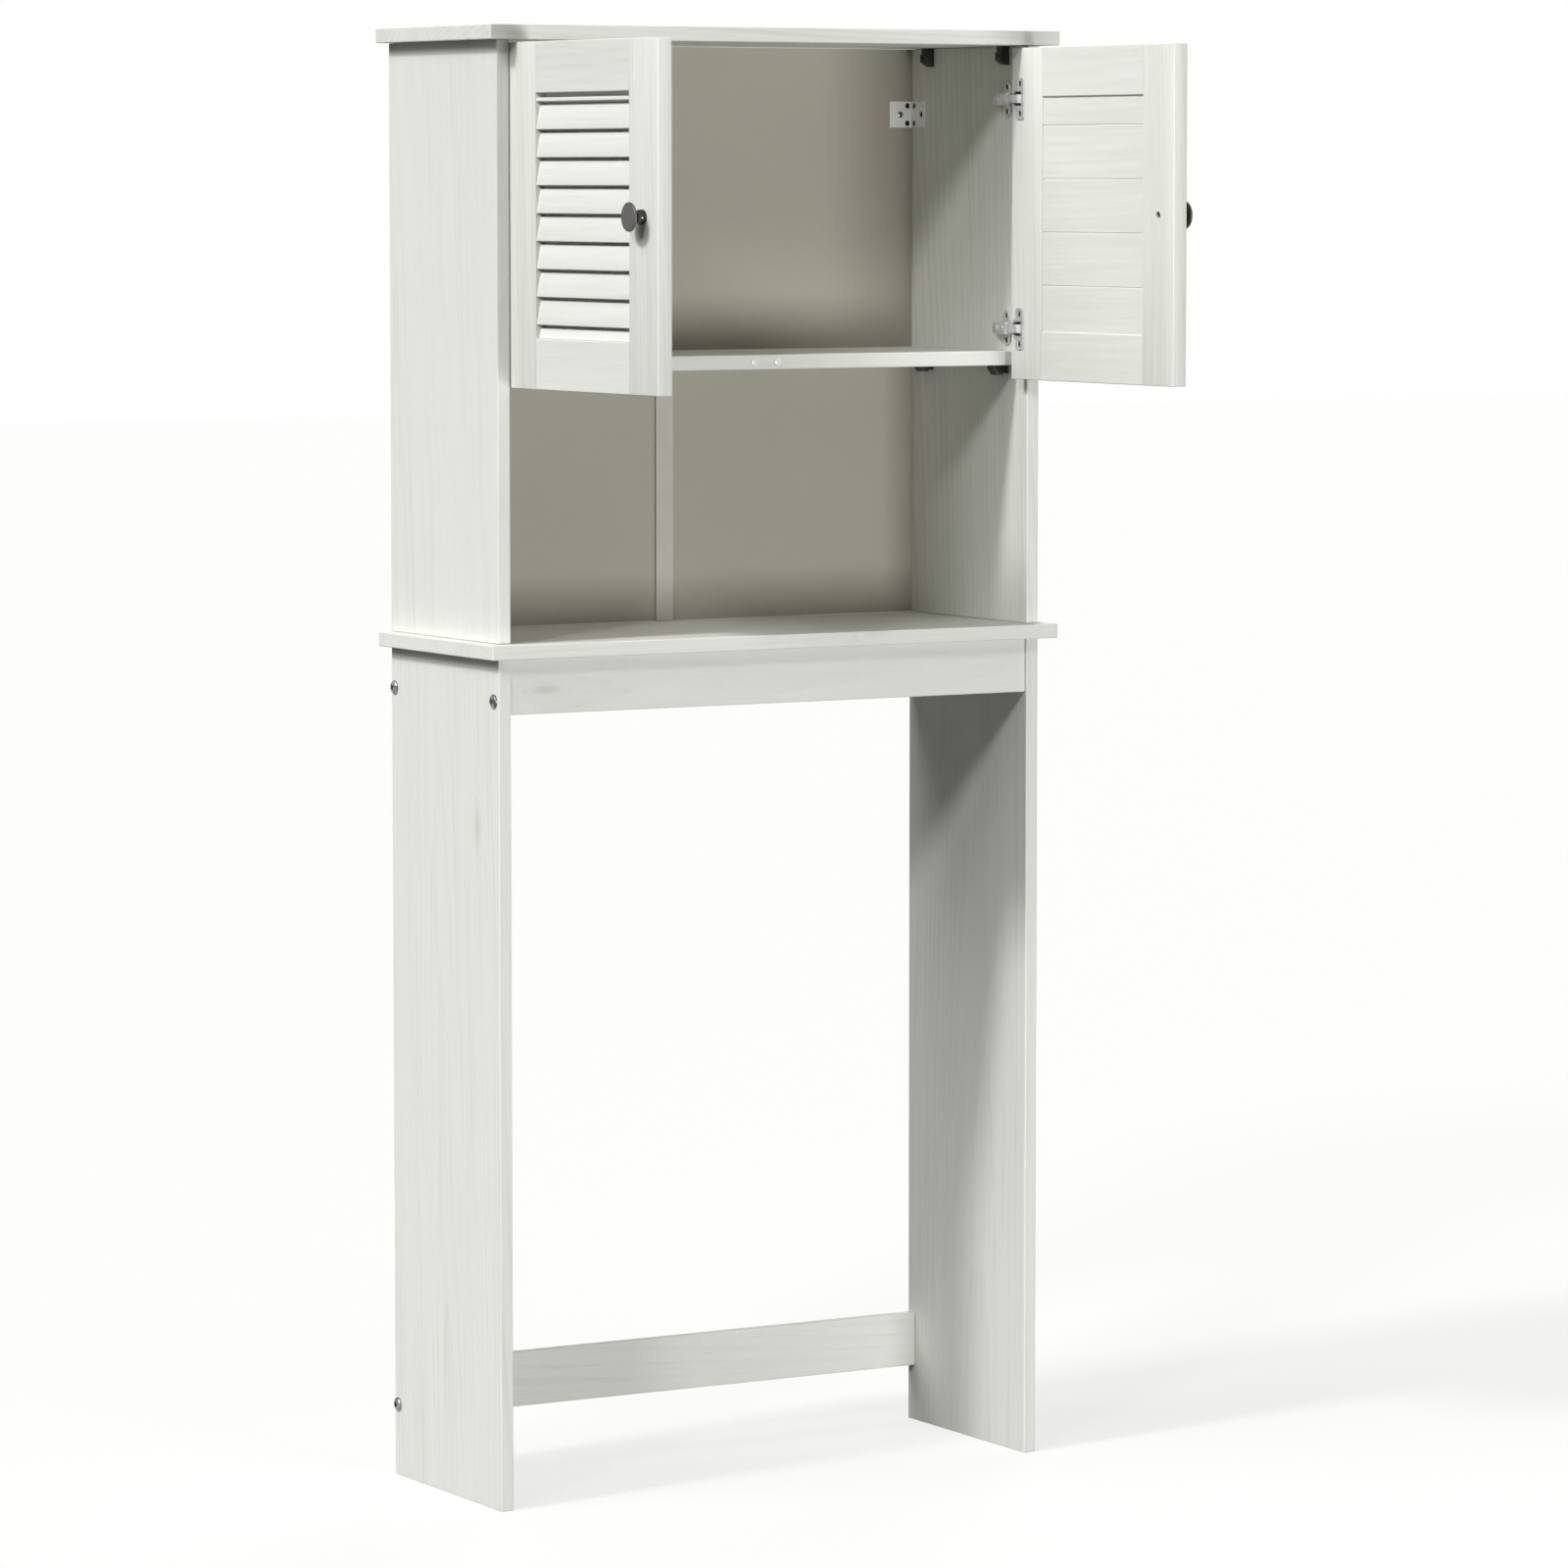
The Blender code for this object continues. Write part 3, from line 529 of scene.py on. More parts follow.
knots = {  # centre and reach across the grain
    "left_lower_side": ((-0.344, 0.085, 0.745), 0.026),
    "front_apron": ((-0.285, 0.0375, 0.895), 0.018),
    "middle_board": ((0.12, 0.02, 0.946), 0.016),
}
doorBoards = {  # the same, with places along the log for the left and the right door, and streaks
    "top_rail": ("Y", (0.02, 0.045), (0.02, 0.01), (26.3, 28.6), 0.14, 0.24, 0.15),
    "bottom_rail": ("Y", (0.03, 0.035), (0.015, 0.01), (29.6, 31.9), 0.12, 0.20, 0.15),
    "back_panel": ("Y", (0.01, 0.06), (0.015, 0.01), (28.5, 30.8), 0.13, 0.26, 0.15),
    "stiles": ("Z", (0.05, -0.04), (0.02, 0.015), (20.5, 21.5), 0.18, 0.24, 0.22),
    "slats": ("Y", (0.03, 0.05), (0.015, 0.01), (24.5, 25.5), 0.14, 0.14, 0.22),
}


def paint(node, material):
    for slot in nodes[node].material_slots:
        slot.material = material


def doorPine(hand, part, node):
    grain, heart, tilt, places, *strengths = doorBoards[part]
    along = dict(zip(hands, places))[hand]
    return pineFinish(f"{hand}_door_{part}Pine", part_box(node), grain, heart, tilt, along, *strengths)


def finishBoards():
    for name, values in boards.items():
        paint(name, pineFinish(name + "Pine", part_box(name), *values, knot=knots.get(name)))
    for hand in hands:
        for part in ("top_rail", "bottom_rail", "back_panel"):
            name = f"{hand}_door_{part}"
            paint(name, doorPine(hand, part, name))
        paint(hand + "_back_panel", backGrey)
    paint("back_joining_strip", finishes["stripBeige"])


finishBoards()
print("boards grained")


# Mesh helpers

asDrawn = Matrix()


def moveBy(vector):
    return Matrix.Translation(vector)


def turnBy(angle, axis):
    return Matrix.Rotation(angle, 4, axis)


def meshFrom(name, shape):
    mesh = bpy.data.meshes.new(name)
    bmesh.ops.recalc_face_normals(shape, faces=shape.faces)
    shape.to_mesh(mesh)
    shape.free()
    return mesh


def shaped(name, shape):
    return place(name, meshFrom(name, shape))


def boxShape(low, high):
    shape = bmesh.new()
    bmesh.ops.create_cube(shape, size=1)
    bmesh.ops.scale(shape, vec=[b - a for a, b in zip(low, high)], verts=shape.verts)
    bmesh.ops.translate(shape, vec=[(a + b) / 2 for a, b in zip(low, high)], verts=shape.verts)
    return shape


def rodShape(radius, length, matrix, segments):
    sizes = {"segments": segments, "radius1": radius, "radius2": radius, "depth": length}
    shape = bmesh.new()
    bmesh.ops.create_cone(shape, cap_ends=True, matrix=matrix, **sizes)
    return shape


def turnedMesh(name, profile, steps):  # (radius, height) points from the top centre to the bottom centre
    shape = bmesh.new()
    angles = [2 * math.pi * i / steps for i in range(steps)]
    rings = []
    for radius, height in profile:
        if radius:
            rings.append([shape.verts.new((radius * math.cos(a), radius * math.sin(a), height)) for a in angles])
        else:
            rings.append([shape.verts.new((0, 0, height))])
    for upper, lower in zip(rings, rings[1:]):
        for i in range(steps):
            j = (i + 1) % steps
            corners = [upper[i % len(upper)], lower[i % len(lower)], lower[j % len(lower)], upper[j % len(upper)]]
            shape.faces.new([v for k, v in enumerate(corners) if v not in corners[:k]])
    return meshFrom(name, shape)


def arc(centre, radius, start, end, steps):
    angles = [math.radians(start + (end - start) * i / steps) for i in range(steps + 1)]
    return [(centre[0] + radius * math.cos(a), centre[1] + radius * math.sin(a)) for a in angles]


def slotLoop(centre, width, length):  # upright slot with round ends
    (x, y), reach = centre, (length - width) / 2
    return arc((x, y + reach), width / 2, 0, 180, 10) + arc((x, y - reach), width / 2, 180, 360, 10)


def addBoolean(holder, other, operation="DIFFERENCE"):
    modifier = holder.modifiers.new(other.name, "BOOLEAN")
    modifier.operation = operation
    modifier.solver = "EXACT"
    modifier.object = other


def addBevel(holder, width, segments=3):
    modifier = holder.modifiers.new("roundEdges", "BEVEL")
    modifier.width = width
    modifier.segments = segments
    modifier.limit_method = "ANGLE"
    modifier.angle_limit = math.radians(40)


def bake(holder, *tools):  # what the modifiers make of it, as a plain mesh
    bpy.context.view_layer.update()
    mesh = bpy.data.meshes.new_from_object(holder.evaluated_get(bpy.context.evaluated_depsgraph_get()))
    for spent in (holder, *tools):
        bpy.data.objects.remove(spent, do_unlink=True)
    return mesh


def cutBy(holder, *tools):
    for tool in tools:
        addBoolean(holder, tool)
    return bake(holder, *tools)


def roundedBox(name, low, high, soft):
    block = shaped(name, boxShape(low, high))
    addBevel(block, soft)
    return bake(block)


def plateMesh(name, loops, thickness, soft=0.0):  # outline with holes, about its own plane, with soft rims
    curve = bpy.data.curves.new(name, "CURVE")
    curve.dimensions = "2D"
    curve.fill_mode = "BOTH"
    curve.extrude = thickness / 2 - soft
    curve.bevel_depth = soft
    curve.bevel_resolution = 2
    curve.offset = -soft
    for loop in loops:
        spline = curve.splines.new("POLY")
        spline.points.add(len(loop) - 1)
        spline.use_cyclic_u = True
        for point, (x, y) in zip(spline.points, loop):
            point.co = (x, y, 0, 1)
    mesh = bake(place(name, curve))
    shape = bmesh.new()
    shape.from_mesh(mesh)
    bpy.data.meshes.remove(mesh)
    bmesh.ops.remove_doubles(shape, verts=shape.verts, dist=weld)
    return meshFrom(name, shape)


def joinMeshes(name, parts):  # parts are meshes with the matrix that places each
    shape = bmesh.new()
    for mesh, matrix in parts:
        copy = mesh.copy()
        copy.transform(matrix)
        if matrix.determinant() < 0:
            copy.flip_normals()
        shape.from_mesh(copy)
        bpy.data.meshes.remove(copy)
    mesh = bpy.data.meshes.new(name)
    shape.to_mesh(mesh)
    shape.free()
    return mesh


def setPiece(name, mesh, finish, body, replaced, crease=30):
    mesh.materials.clear()
    mesh.materials.append(finishes.get(finish, finish))
    for face in mesh.polygons:
        face.material_index = 0
        face.use_smooth = True
    mesh.set_sharp_from_angle(angle=math.radians(crease))
    piece = place(name, mesh)
    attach(piece, body)
    if replaced:
        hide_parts(*replaced)


def axes(x, y, z, origin=(0, 0, 0)):  # matrix from the directions that the local axes take
    return moveBy(origin) @ Matrix((x, y, z)).transposed().to_4x4()


def spotOn(name, *ways):  # on a node's box, for each axis: -1 is low, 0 the middle and 1 high
    return [((low + high) / 2, high, low)[way] for way, low, high in zip(ways, *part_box(name))]


# Geometry Nodes helpers

def geometryTree(name, ins):
    tree = bpy.data.node_groups.new(name, "GeometryNodeTree")
    tree.is_modifier = True
    for socket, kind in ins:
        tree.interface.new_socket(socket, in_out="INPUT", socket_type="NodeSocket" + kind)
    tree.interface.new_socket("Geometry", in_out="OUTPUT", socket_type="NodeSocketGeometry")
    return tree, addNode(tree, "NodeGroupInput").outputs, addNode(tree, "NodeGroupOutput")


def useTree(holder, tree, **values):
    modifier = holder.modifiers.new(tree.name, "NODES")
    modifier.node_group = tree
    sockets = {item.name: item.identifier for item in tree.interface.items_tree if item.in_out == "INPUT"}
    for socket, value in values.items():
        modifier[sockets[socket]] = value


def makeCopiesTree():  # one piece set at every point, turned by the point's own angles
    tree, ins, end = geometryTree("copies", [("Geometry", "Geometry"), ("Piece", "Object"), ("Finish", "Material")])
    piece = geometryNode(tree, "ObjectInfo", ins["Piece"], transform_space="ORIGINAL").outputs["Geometry"]
    angles = geometryNode(tree, "InputNamedAttribute", data_type="FLOAT_VECTOR", Name="turn")
    spin = addNode(tree, "FunctionNodeEulerToRotation", angles)
    copies = geometryNode(tree, "InstanceOnPoints", ins["Geometry"], Instance=piece, Rotation=spin)
    real = geometryNode(tree, "RealizeInstances", copies)
    setUp(end, geometryNode(tree, "SetMaterial", real, Material=ins["Finish"]))
    layOut(tree)
    return tree


copiesTree = makeCopiesTree()


def setCopies(name, mesh, matrices, finish, replaced):  # one fixed piece, a copy of the mesh at each matrix
    model = place(name + "Model", mesh)
    seed = bpy.data.meshes.new(name + "Seed")
    seed.from_pydata([matrix.translation for matrix in matrices], [], [])
    turns = seed.attributes.new("turn", "FLOAT_VECTOR", "POINT")
    turns.data.foreach_set("vector", [angle for matrix in matrices for angle in matrix.to_euler()])
    holder = place(name + "Seed", seed)
    useTree(holder, copiesTree, Piece=model, Finish=finishes[finish])
    made = bake(holder, model)
    if "turn" in made.attributes:
        made.attributes.remove(made.attributes["turn"])
    setPiece(name, made, finish, "cabinet", replaced)


# Where the doors hang

door = {
    "thick": 0.017,
    "stile": 0.061,
    "pivotInset": 0.0024,
    "softEdge": 0.0010,
    "panelTongue": 0.0063,
    "panelFront": 0.0107,
    "panelRear": 0.0148,
    "knobHole": 0.0022,
    "knobRecess": (0.0040, 0.0026),
    "drill": 0.1,  # long enough to go right through
    "opened": 90,
}
hingeAxis = {
    hand: Vector((joint["pos_m"][0], joint["pos_m"][1], 0))
    for hand in hands
    for joint in frame["joints"]
    if joint["name"] == hand + "_door_hinge"
}
low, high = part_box("left_door_louvre_frame")
doorWidth = high.y - low.y


def hangDoor(hand, share=1.0):  # from the closed door's layout, with the hinge axis at its origin
    turn = math.radians(door["opened"]) * share * hands[hand]
    return moveBy(hingeAxis[hand]) @ turnBy(turn, "Z")


def doorX(hand, along):  # along runs from the hinge edge
    return -hands[hand] * (along - door["pivotInset"])


def doorBox(hand, along, deep, z):  # deep runs from the front face
    x = sorted(doorX(hand, a) for a in along)
    y = [d - door["pivotInset"] for d in deep]
    return boxShape((x[0], y[0], z[0]), (x[1], y[1], z[1]))


def hingeHeight(hand, level):
    return spotOn(f"{hand}_hinge_cup_{level}", 0, 0, 0)[2]


def setHingePieces(hand, name, kind, finish, body, parts, crease=30):  # one piece for both hinges of a door
    replaced = [f"{hand}_hinge_{kind}_{level}" for level in levels]
    setPiece(f"{hand}_{name}", joinMeshes(hand + name, parts), finish, body, replaced, crease)


# Cups of the hinges: slotted flange, D-shaped mouth, the track that the link slides along and its housings

cup = {
    "set": 0.0142,
    "radius": 0.0115,
    "depth": 0.0112,
    "wall": 0.0008,
    "round": 0.0012,
    "mouthHalf": 0.0080,
    "mouthFar": 0.0068,
    "flangeThick": 0.0010,
    "flangeRim": 0.0012,
    "flangeHeight": 0.0466,
    "flangeFar": 0.0118,
    "flangeNear": 0.0037,
    "corner": 0.0030,
    "earOffset": 0.0042,
    "earSpacing": 0.0333,
    "slot": (0.0042, 0.0068),
    "slotFloor": 0.0006,
    "soft": 0.0003,
    "guideHalf": 0.0047,
    "guideReach": 0.0193,
    "guideSoft": 0.0002,
    "guideSlack": 0.00005,
    "drum": 0.0161,
    "drumTurn": 75,
}
housing = {
    "from": 0.0054,
    "to": 0.0078,
    "near": -0.0062,
    "slack": 0.0001,
    "foot": 0.002,
    "sunk": 0.0006,
    "soft": 0.0008,
}


def cupMouth():
    radius, half, far = cup["radius"] - cup["wall"], cup["mouthHalf"], cup["mouthFar"]
    turn = math.degrees(math.asin(half / radius))
    return arc((0, 0), radius, 180 - turn, 180 + turn, 20) + [(far, -half), (far, half)]


def cupEars():
    return [(cup["earOffset"], lift * cup["earSpacing"] / 2) for lift in (-1, 1)]


def makeGuide():  # the link's track, drawn from the hinge axis, x along the door and y deep into it
    reach, drum = cup["guideReach"], cup["drum"]
    far = cup["set"] + cup["mouthFar"] - door["pivotInset"] - cup["guideSlack"]
    high = door["thick"] + cup["flangeThick"] - door["pivotInset"] - gap
    low = high + gap + cup["wall"] - cup["depth"]
    turns = [math.degrees(angle) for angle in (math.asin(high / reach), math.acos(far / reach))]
    outer = arc((0, 0), reach, *turns, 12) + [(far, high)]
    inner = arc((0, 0), drum, math.degrees(math.asin(low / drum)), cup["drumTurn"], 20)
    inner.append((inner[-1][0], low))
    wide = 2 * cup["guideHalf"]
    parts = [(plateMesh("guide", [outline], wide, cup["guideSoft"]), asDrawn) for outline in (outer, inner)]
    shift, lift = door["pivotInset"] - cup["set"], door["pivotInset"] - door["thick"]
    return joinMeshes("guides", parts), axes((1, 0, 0), (0, 0, 1), (0, 1, 0), (shift, 0, lift))


def makeCupMesh():  # x away from the hinge edge, y up, z out of the door's inside face
    half, corner, far, near = cup["flangeHeight"] / 2, cup["corner"], cup["flangeFar"], cup["flangeNear"]
    bulge = cup["radius"] + cup["flangeRim"]
    turn = 180 - math.degrees(math.acos(near / bulge))
    outline = arc((far - corner, half - corner), corner, 0, 90, 6)
    outline += arc((corner - near, half - corner), corner, 90, 180, 6)
    outline += arc((0, 0), bulge, turn, 360 - turn, 28)
    outline += arc((corner - near, corner - half), corner, 180, 270, 6)
    outline += arc((far - corner, corner - half), corner, 270, 360, 6)
    slots = [slotLoop(ear, *cup["slot"]) for ear in cupEars()]
    flange = plateMesh("flange", [outline, cupMouth()] + slots, cup["flangeThick"], cup["soft"])
    low = cup["flangeThick"] / 2 - cup["depth"]
    tub = shaped("tub", rodShape(cup["radius"], -low, moveBy((0, 0, low / 2)), 64))
    addBevel(tub, cup["round"], 4)
    pocket = place("pocket", plateMesh("pocket", [cupMouth()], -2 * low - 2 * cup["wall"]))
    lay = moveBy((0, 0, cup["flangeThick"] / 2))
    return joinMeshes("cup", [(cutBy(tub, pocket), asDrawn), (flange, lay)])


def makeHousingMesh():  # spring housings over and under the link, in the mouth of the cup
    foot, far = housing["foot"] - cup["depth"], cup["mouthFar"] - housing["slack"]
    parts = []
    for way in (-1, 1):
        low, high = sorted((way * housing["from"], way * housing["to"]))
        corners = (housing["near"], low, foot), (far, high, -housing["sunk"])
        parts.append((roundedBox("housing", *corners, housing["soft"]), asDrawn))
    return joinMeshes("housings", parts)


def cupPlace(hand, level):
    spot = (doorX(hand, cup["set"]), door["thick"] + gap - door["pivotInset"], hingeHeight(hand, level))
    return hangDoor(hand) @ axes((-hands[hand], 0, 0), (0, 0, 1), (0, 1, 0), spot)


def makeCups():
    guide, lean = makeGuide()
    pieces = {
        "cups": (makeCupMesh(), asDrawn, "nickelPlate"),
        "cup_guides": (guide, lean, "brightGuide"),
        # the housings are near-black, painted as the shade in the cup's mouth
        "cup_housings": (makeHousingMesh(), asDrawn, "darkHollow"),
    }
    for hand in hands:
        for name, (mesh, lay, finish) in pieces.items():
            parts = [(mesh, cupPlace(hand, level) @ lay) for level in levels]
            setHingePieces(hand, name, "cup", finish, hand + "_door", parts)


makeCups()
print("hinge cups pressed")


# Links, the curved levers between cup and arm

lever = {"inner": 0.01643, "outer": 0.01893, "start": 19, "end": 90, "width": 0.009, "soft": 0.0007}


def makeLinks():
    outline = arc((0, 0), lever["outer"], lever["start"], lever["end"], 24)
    outline += arc((0, 0), lever["inner"], lever["end"], lever["start"], 24)
    mesh = plateMesh("lever", [outline], lever["width"], lever["soft"])
    for hand, side in hands.items():
        mirror = Matrix.Diagonal((-side, 1, 1, 1))
        lifts = [moveBy((0, 0, hingeHeight(hand, level))) for level in levels]
        parts = [(mesh, hangDoor(hand, 0.5) @ lift @ mirror) for lift in lifts]
        setHingePieces(hand, "levers", "link", "nickelPlate", hand + "_links", parts, 40)


makeLinks()
print("hinge links curved")


# Cross-head screws: head radius and rise, shank radius and length, recess width, reach and depth

fixingScrew = {"head": (0.0036, 0.0013), "shank": (0.0015, 0.005), "recess": (0.0009, 0.0040, 0.0010)}
adjuster = {"head": (0.0026, 0.0009), "shank": (0.0013, 0.005), "recess": (0.0008, 0.0030, 0.0007)}
knobScrew = {"head": (0.0034, 0.0014), "shank": (0.0018, 0.012), "recess": (0.0009, 0.0042, 0.0011)}
bolt = {"head": (0.0078, 0.0036), "shank": (0.003, 0.050), "recess": (0.0024, 0.0100, 0.0032)}


def crossHeadMesh(screw):  # head upwards, seat at z = 0
    (radius, rise), (shank, length), (wide, reach, deep) = screw["head"], screw["shank"], screw["recess"]
    turns = [quarter * i / 14 for i in range(14)]
    profile = [(radius * math.sin(a), rise * math.cos(a) ** 0.75) for a in turns]
    profile += [(radius, 0), (shank, 0), (shank, -length), (0, -length)]
    tools = []
    for turn in (0, quarter):
        shape = boxShape((-reach / 2, -wide / 2, rise - deep), (reach / 2, wide / 2, rise + deep))
        for vert in shape.verts:  # the recess narrows downwards
            if vert.co.z < rise:
                vert.co.x *= 0.55
                vert.co.y *= 0.7
        bmesh.ops.rotate(shape, cent=(0, 0, 0), matrix=Matrix.Rotation(turn, 3, "Z"), verts=shape.verts)
        tools.append(shaped("recess", shape))
    return cutBy(place("screw", turnedMesh("screw", profile, 48)), *tools)


# Arms, with a round tail and two screws

arm = {
    "near": 0.0017,
    "thick": 0.0065,
    "tail": 0.0566,
    "slope": 0.0070,
    "tailShare": 0.65,
    "width": 0.013,
    "noseInner": 0.01943,
    "noseOuter": 0.02393,
    "noseTurns": (58, 68, 85),
    "soft": 0.0008,
    "fixing": (0.0120, 0.6),  # how far from the tail's end the screw sits, and its turn
    "adjuster": (0.0250, 0.2),
}
outward = axes((0, 1, 0), (0, 0, 1), (1, 0, 0))  # screws stand on the face towards the other side


def armOutline():
    near, far, tail = arm["near"], arm["near"] + arm["thick"], arm["tail"]
    low, mid, high = arm["noseTurns"]
    hollow = arc((0, 0), arm["noseInner"], high, low, 20)
    hollow[0] = (near, math.sqrt(arm["noseInner"] ** 2 - near**2))
    shoulder = arc((0, 0), arm["noseOuter"], low, mid, 12)
    neck = (far, shoulder[-1][1] + arm["thick"])
    end = [(far, tail - arm["slope"]), (near + arm["thick"] * arm["tailShare"], tail), (near, tail)]
    return hollow + shoulder + [neck] + end


def makeArmMesh():
    half, tail, reach = arm["width"] / 2, arm["tail"], 2 * arm["noseOuter"]
    body = place("armBody", plateMesh("armBody", [armOutline()], arm["width"]))
    end = arc((tail - half, 0), half, -90, 90, 24) + [(-reach, 1.2 * half), (-reach, -1.2 * half)]
    end = plateMesh("armEnd", [end], 2 * reach)
    end.transform(outward)
    end = place("armEnd", end)
    addBoolean(body, end, "INTERSECT")
    addBevel(body, arm["soft"])
    return bake(body, end)


def makeArms():
    body = makeArmMesh()
    screws = [(crossHeadMesh(fixingScrew), arm["fixing"]), (crossHeadMesh(adjuster), arm["adjuster"])]
    for hand, side in hands.items():
        parts = []
        for level in levels:
            spot = moveBy(hingeAxis[hand] + Vector((0, 0, hingeHeight(hand, level))))
            spot = spot @ Matrix.Diagonal((-side, 1, 1, 1))
            parts.append((body, spot))
            for screw, (back, turn) in screws:
                seat = moveBy((arm["near"] + arm["thick"], arm["tail"] - back, 0))
                parts.append((screw, spot @ seat @ outward @ turnBy(turn + side, "Z")))
        setHingePieces(hand, "arms", "arm", "nickelPlate", "cabinet", parts)


makeArms()
print("hinge arms shaped")


# Mounting plates under the arms

plate = {
    "height": 0.039,
    "ear": 0.013,
    "length": 0.026,
    "waist": 0.013,
    "tip": 0.011,
    "thick": 0.002,
    "earSpacing": 0.0276,
    "slot": (0.0042, 0.0068),
    "slotFloor": 0.0012,
    "block": (0.020, 0.010, 0.003),
    "blockSoft": 0.0008,
    "soft": 0.0005,
}


def makePlateMesh():  # x towards the back, y up, z out from the side
    ear, waist, tip, thick = plate["ear"] / 2, plate["waist"] / 2, plate["tip"] / 2, plate["thick"]
    length = plate["length"] / 2
    upper = [(length, tip), (ear, waist)]
    upper += arc((0, plate["height"] / 2 - ear), ear, 0, 180, 24)
    upper += [(-ear, waist), (-length, tip)]
    outline = upper + [(-x, -y) for x, y in upper]
    slots = [slotLoop((0, lift * plate["earSpacing"] / 2), *plate["slot"]) for lift in (-1, 1)]
    wings = plateMesh("wings", [outline] + slots, thick, plate["soft"])
    long, wide, rise = plate["block"]
    corners = (-long / 2, -wide / 2, thick / 2), (long / 2, wide / 2, thick + rise)
    block = roundedBox("block", *corners, plate["blockSoft"])
    return joinMeshes("plate", [(wings, moveBy((0, 0, thick / 2))), (block, asDrawn)])


def platePlace(hand, level):
    side = hands[hand]
    return axes((0, 1, 0), (0, 0, 1), (-side, 0, 0), spotOn(f"{hand}_hinge_plate_{level}", side, 0, 0))


def makePlates():
    mesh = makePlateMesh()
    for hand in hands:
        parts = [(mesh, platePlace(hand, level)) for level in levels]
        setHingePieces(hand, "mounting_plates", "plate", "nickelPlate", "cabinet", parts)


makePlates()
print("mounting plates cut")


# Wall brackets, each with one screw in its back leg

bracket = {
    "backLeg": 0.032,
    "sideLeg": 0.030,
    "lip": 0.004,
    "thick": 0.0016,
    "height": 0.030,
    "hole": 0.0032,
    "pairSet": 0.0068,
    "pairSpacing": 0.020,
    "backHole": 0.0165,
    "sideHole": 0.023,
    "soft": 0.00035,
}


def bracketHoles():  # places and legs, from the bracket's own corner
    for lift in (-bracket["pairSpacing"] / 2, bracket["pairSpacing"] / 2):
        yield (-bracket["pairSet"], 0, lift), "back"
        yield (0, -bracket["pairSet"], lift), "side"
    yield (0, -bracket["sideHole"], 0), "side"
    yield (-bracket["backHole"], 0, 0), "back"


def acrossLeg(leg):
    return turnBy(quarter, "X" if leg == "back" else "Y")


def makeBracketMesh():  # corner at the origin, back leg along -X, side leg along -Y
    back, side, lip, thick = bracket["backLeg"], bracket["sideLeg"], bracket["lip"], bracket["thick"]
    outline = [(0, 0), (-back, 0), (-back, -lip), (thick - back, -lip), (thick - back, -thick)]
    outline += arc((-2 * thick, -2 * thick), thick, 90, 0, 6) + [(-thick, -side), (0, -side)]
    tools = []
    for spot, leg in bracketHoles():
        rod = rodShape(bracket["hole"], 4 * thick, moveBy(spot) @ acrossLeg(leg), 32)
        tools.append(shaped("drill", rod))
    return cutBy(place("angle", plateMesh("angle", [outline], bracket["height"], bracket["soft"])), *tools)


def bracketPlace(hand):
    side = hands[hand]
    return axes((side, 0, 0), (0, 1, 0), (0, 0, 1), spotOn(hand + "_wall_bracket", side, 1, 0))


def makeBrackets():
    mesh = makeBracketMesh()
    both = joinMeshes("brackets", [(mesh, bracketPlace(hand)) for hand in hands])
    names = [hand + "_wall_bracket" for hand in hands]
    setPiece("wall_brackets", both, "whiteEnamel", "cabinet", names)
    spots = []
    for hand, side in hands.items():
        seat = bracketPlace(hand) @ Vector((-bracket["backHole"], -bracket["thick"], 0))
        spots.append(moveBy(seat) @ acrossLeg("back") @ turnBy(0.5 + side, "Z"))
    setCopies("bracket_screws", crossHeadMesh(fixingScrew), spots, "boltZinc", [])


makeBrackets()
print("wall brackets folded")


# Painted shade: near-black sheets at the bottoms of the screw slots and of the holes that stay empty, standing for
# the shade deep in them

hollow = {"thick": 0.0002, "stretch": 0.0001}  # stretch is how much longer than wide the shade sheet of a round hole is


def slotFloor(width, length):
    thick = hollow["thick"]
    return plateMesh("slotFloor", [slotLoop((0, 0), width + thick, length + thick)], thick)


def makeHoleShades():
    cupSlotShade, plateSlotShade = slotFloor(*cup["slot"]), slotFloor(*plate["slot"])
    holeShade = slotFloor(2 * bracket["hole"], 2 * bracket["hole"] + hollow["stretch"])
    still = []
    for hand in hands:
        moving = []
        for level in levels:
            for x, y in cupEars():
                moving.append((cupSlotShade, cupPlace(hand, level) @ moveBy((x, y, cup["slotFloor"]))))
            for lift in (-plate["earSpacing"] / 2, plate["earSpacing"] / 2):
                spot = moveBy((0, lift, plate["slotFloor"]))
                still.append((plateSlotShade, platePlace(hand, level) @ spot))
        mesh = joinMeshes(hand + "CupHoles", moving)
        setPiece(hand + "_cup_holes", mesh, "darkHollow", hand + "_door", [], 35)
        for (x, y, z), leg in bracketHoles():
            inner = (x, y - hollow["thick"], z) if leg == "back" else (x - hollow["thick"], y, z)
            still.append((holeShade, bracketPlace(hand) @ moveBy(inner) @ acrossLeg(leg)))
    mesh = joinMeshes("emptyHoles", still)
    setPiece("empty_holes", mesh, "darkHollow", "cabinet", [], 35)


makeHoleShades()
print("empty holes darkened")


# Bolts through the lower sides, each turned as it stopped

def makeBolts():
    spots, names = [], [name for name in nodes if "_bolt_" in name]
    for row, name in enumerate(names):
        side = hands[name.split("_")[0]]
        x, y, z = spotOn(name, side, 0, 0)
        spot = moveBy((x - side * bolt["head"][1], y, z))
        spots.append(spot @ turnBy(side * quarter, "Y") @ turnBy(0.35 + 0.9 * row, "Z"))
    setCopies("bolts", crossHeadMesh(bolt), spots, "boltZinc", names)


makeBolts()
print("bolts driven")


# Corner connectors, stepped blocks with one sloping end

connector = {
    "length": 0.0205,
    "width": 0.011,
    "depth": 0.013,
    "foot": 0.0066,
    "step": 0.0018,
    "cut": (0.0052, 0.0076),
    "soft": 0.0007,
    "hole": (0.0019, 0.0035),
}


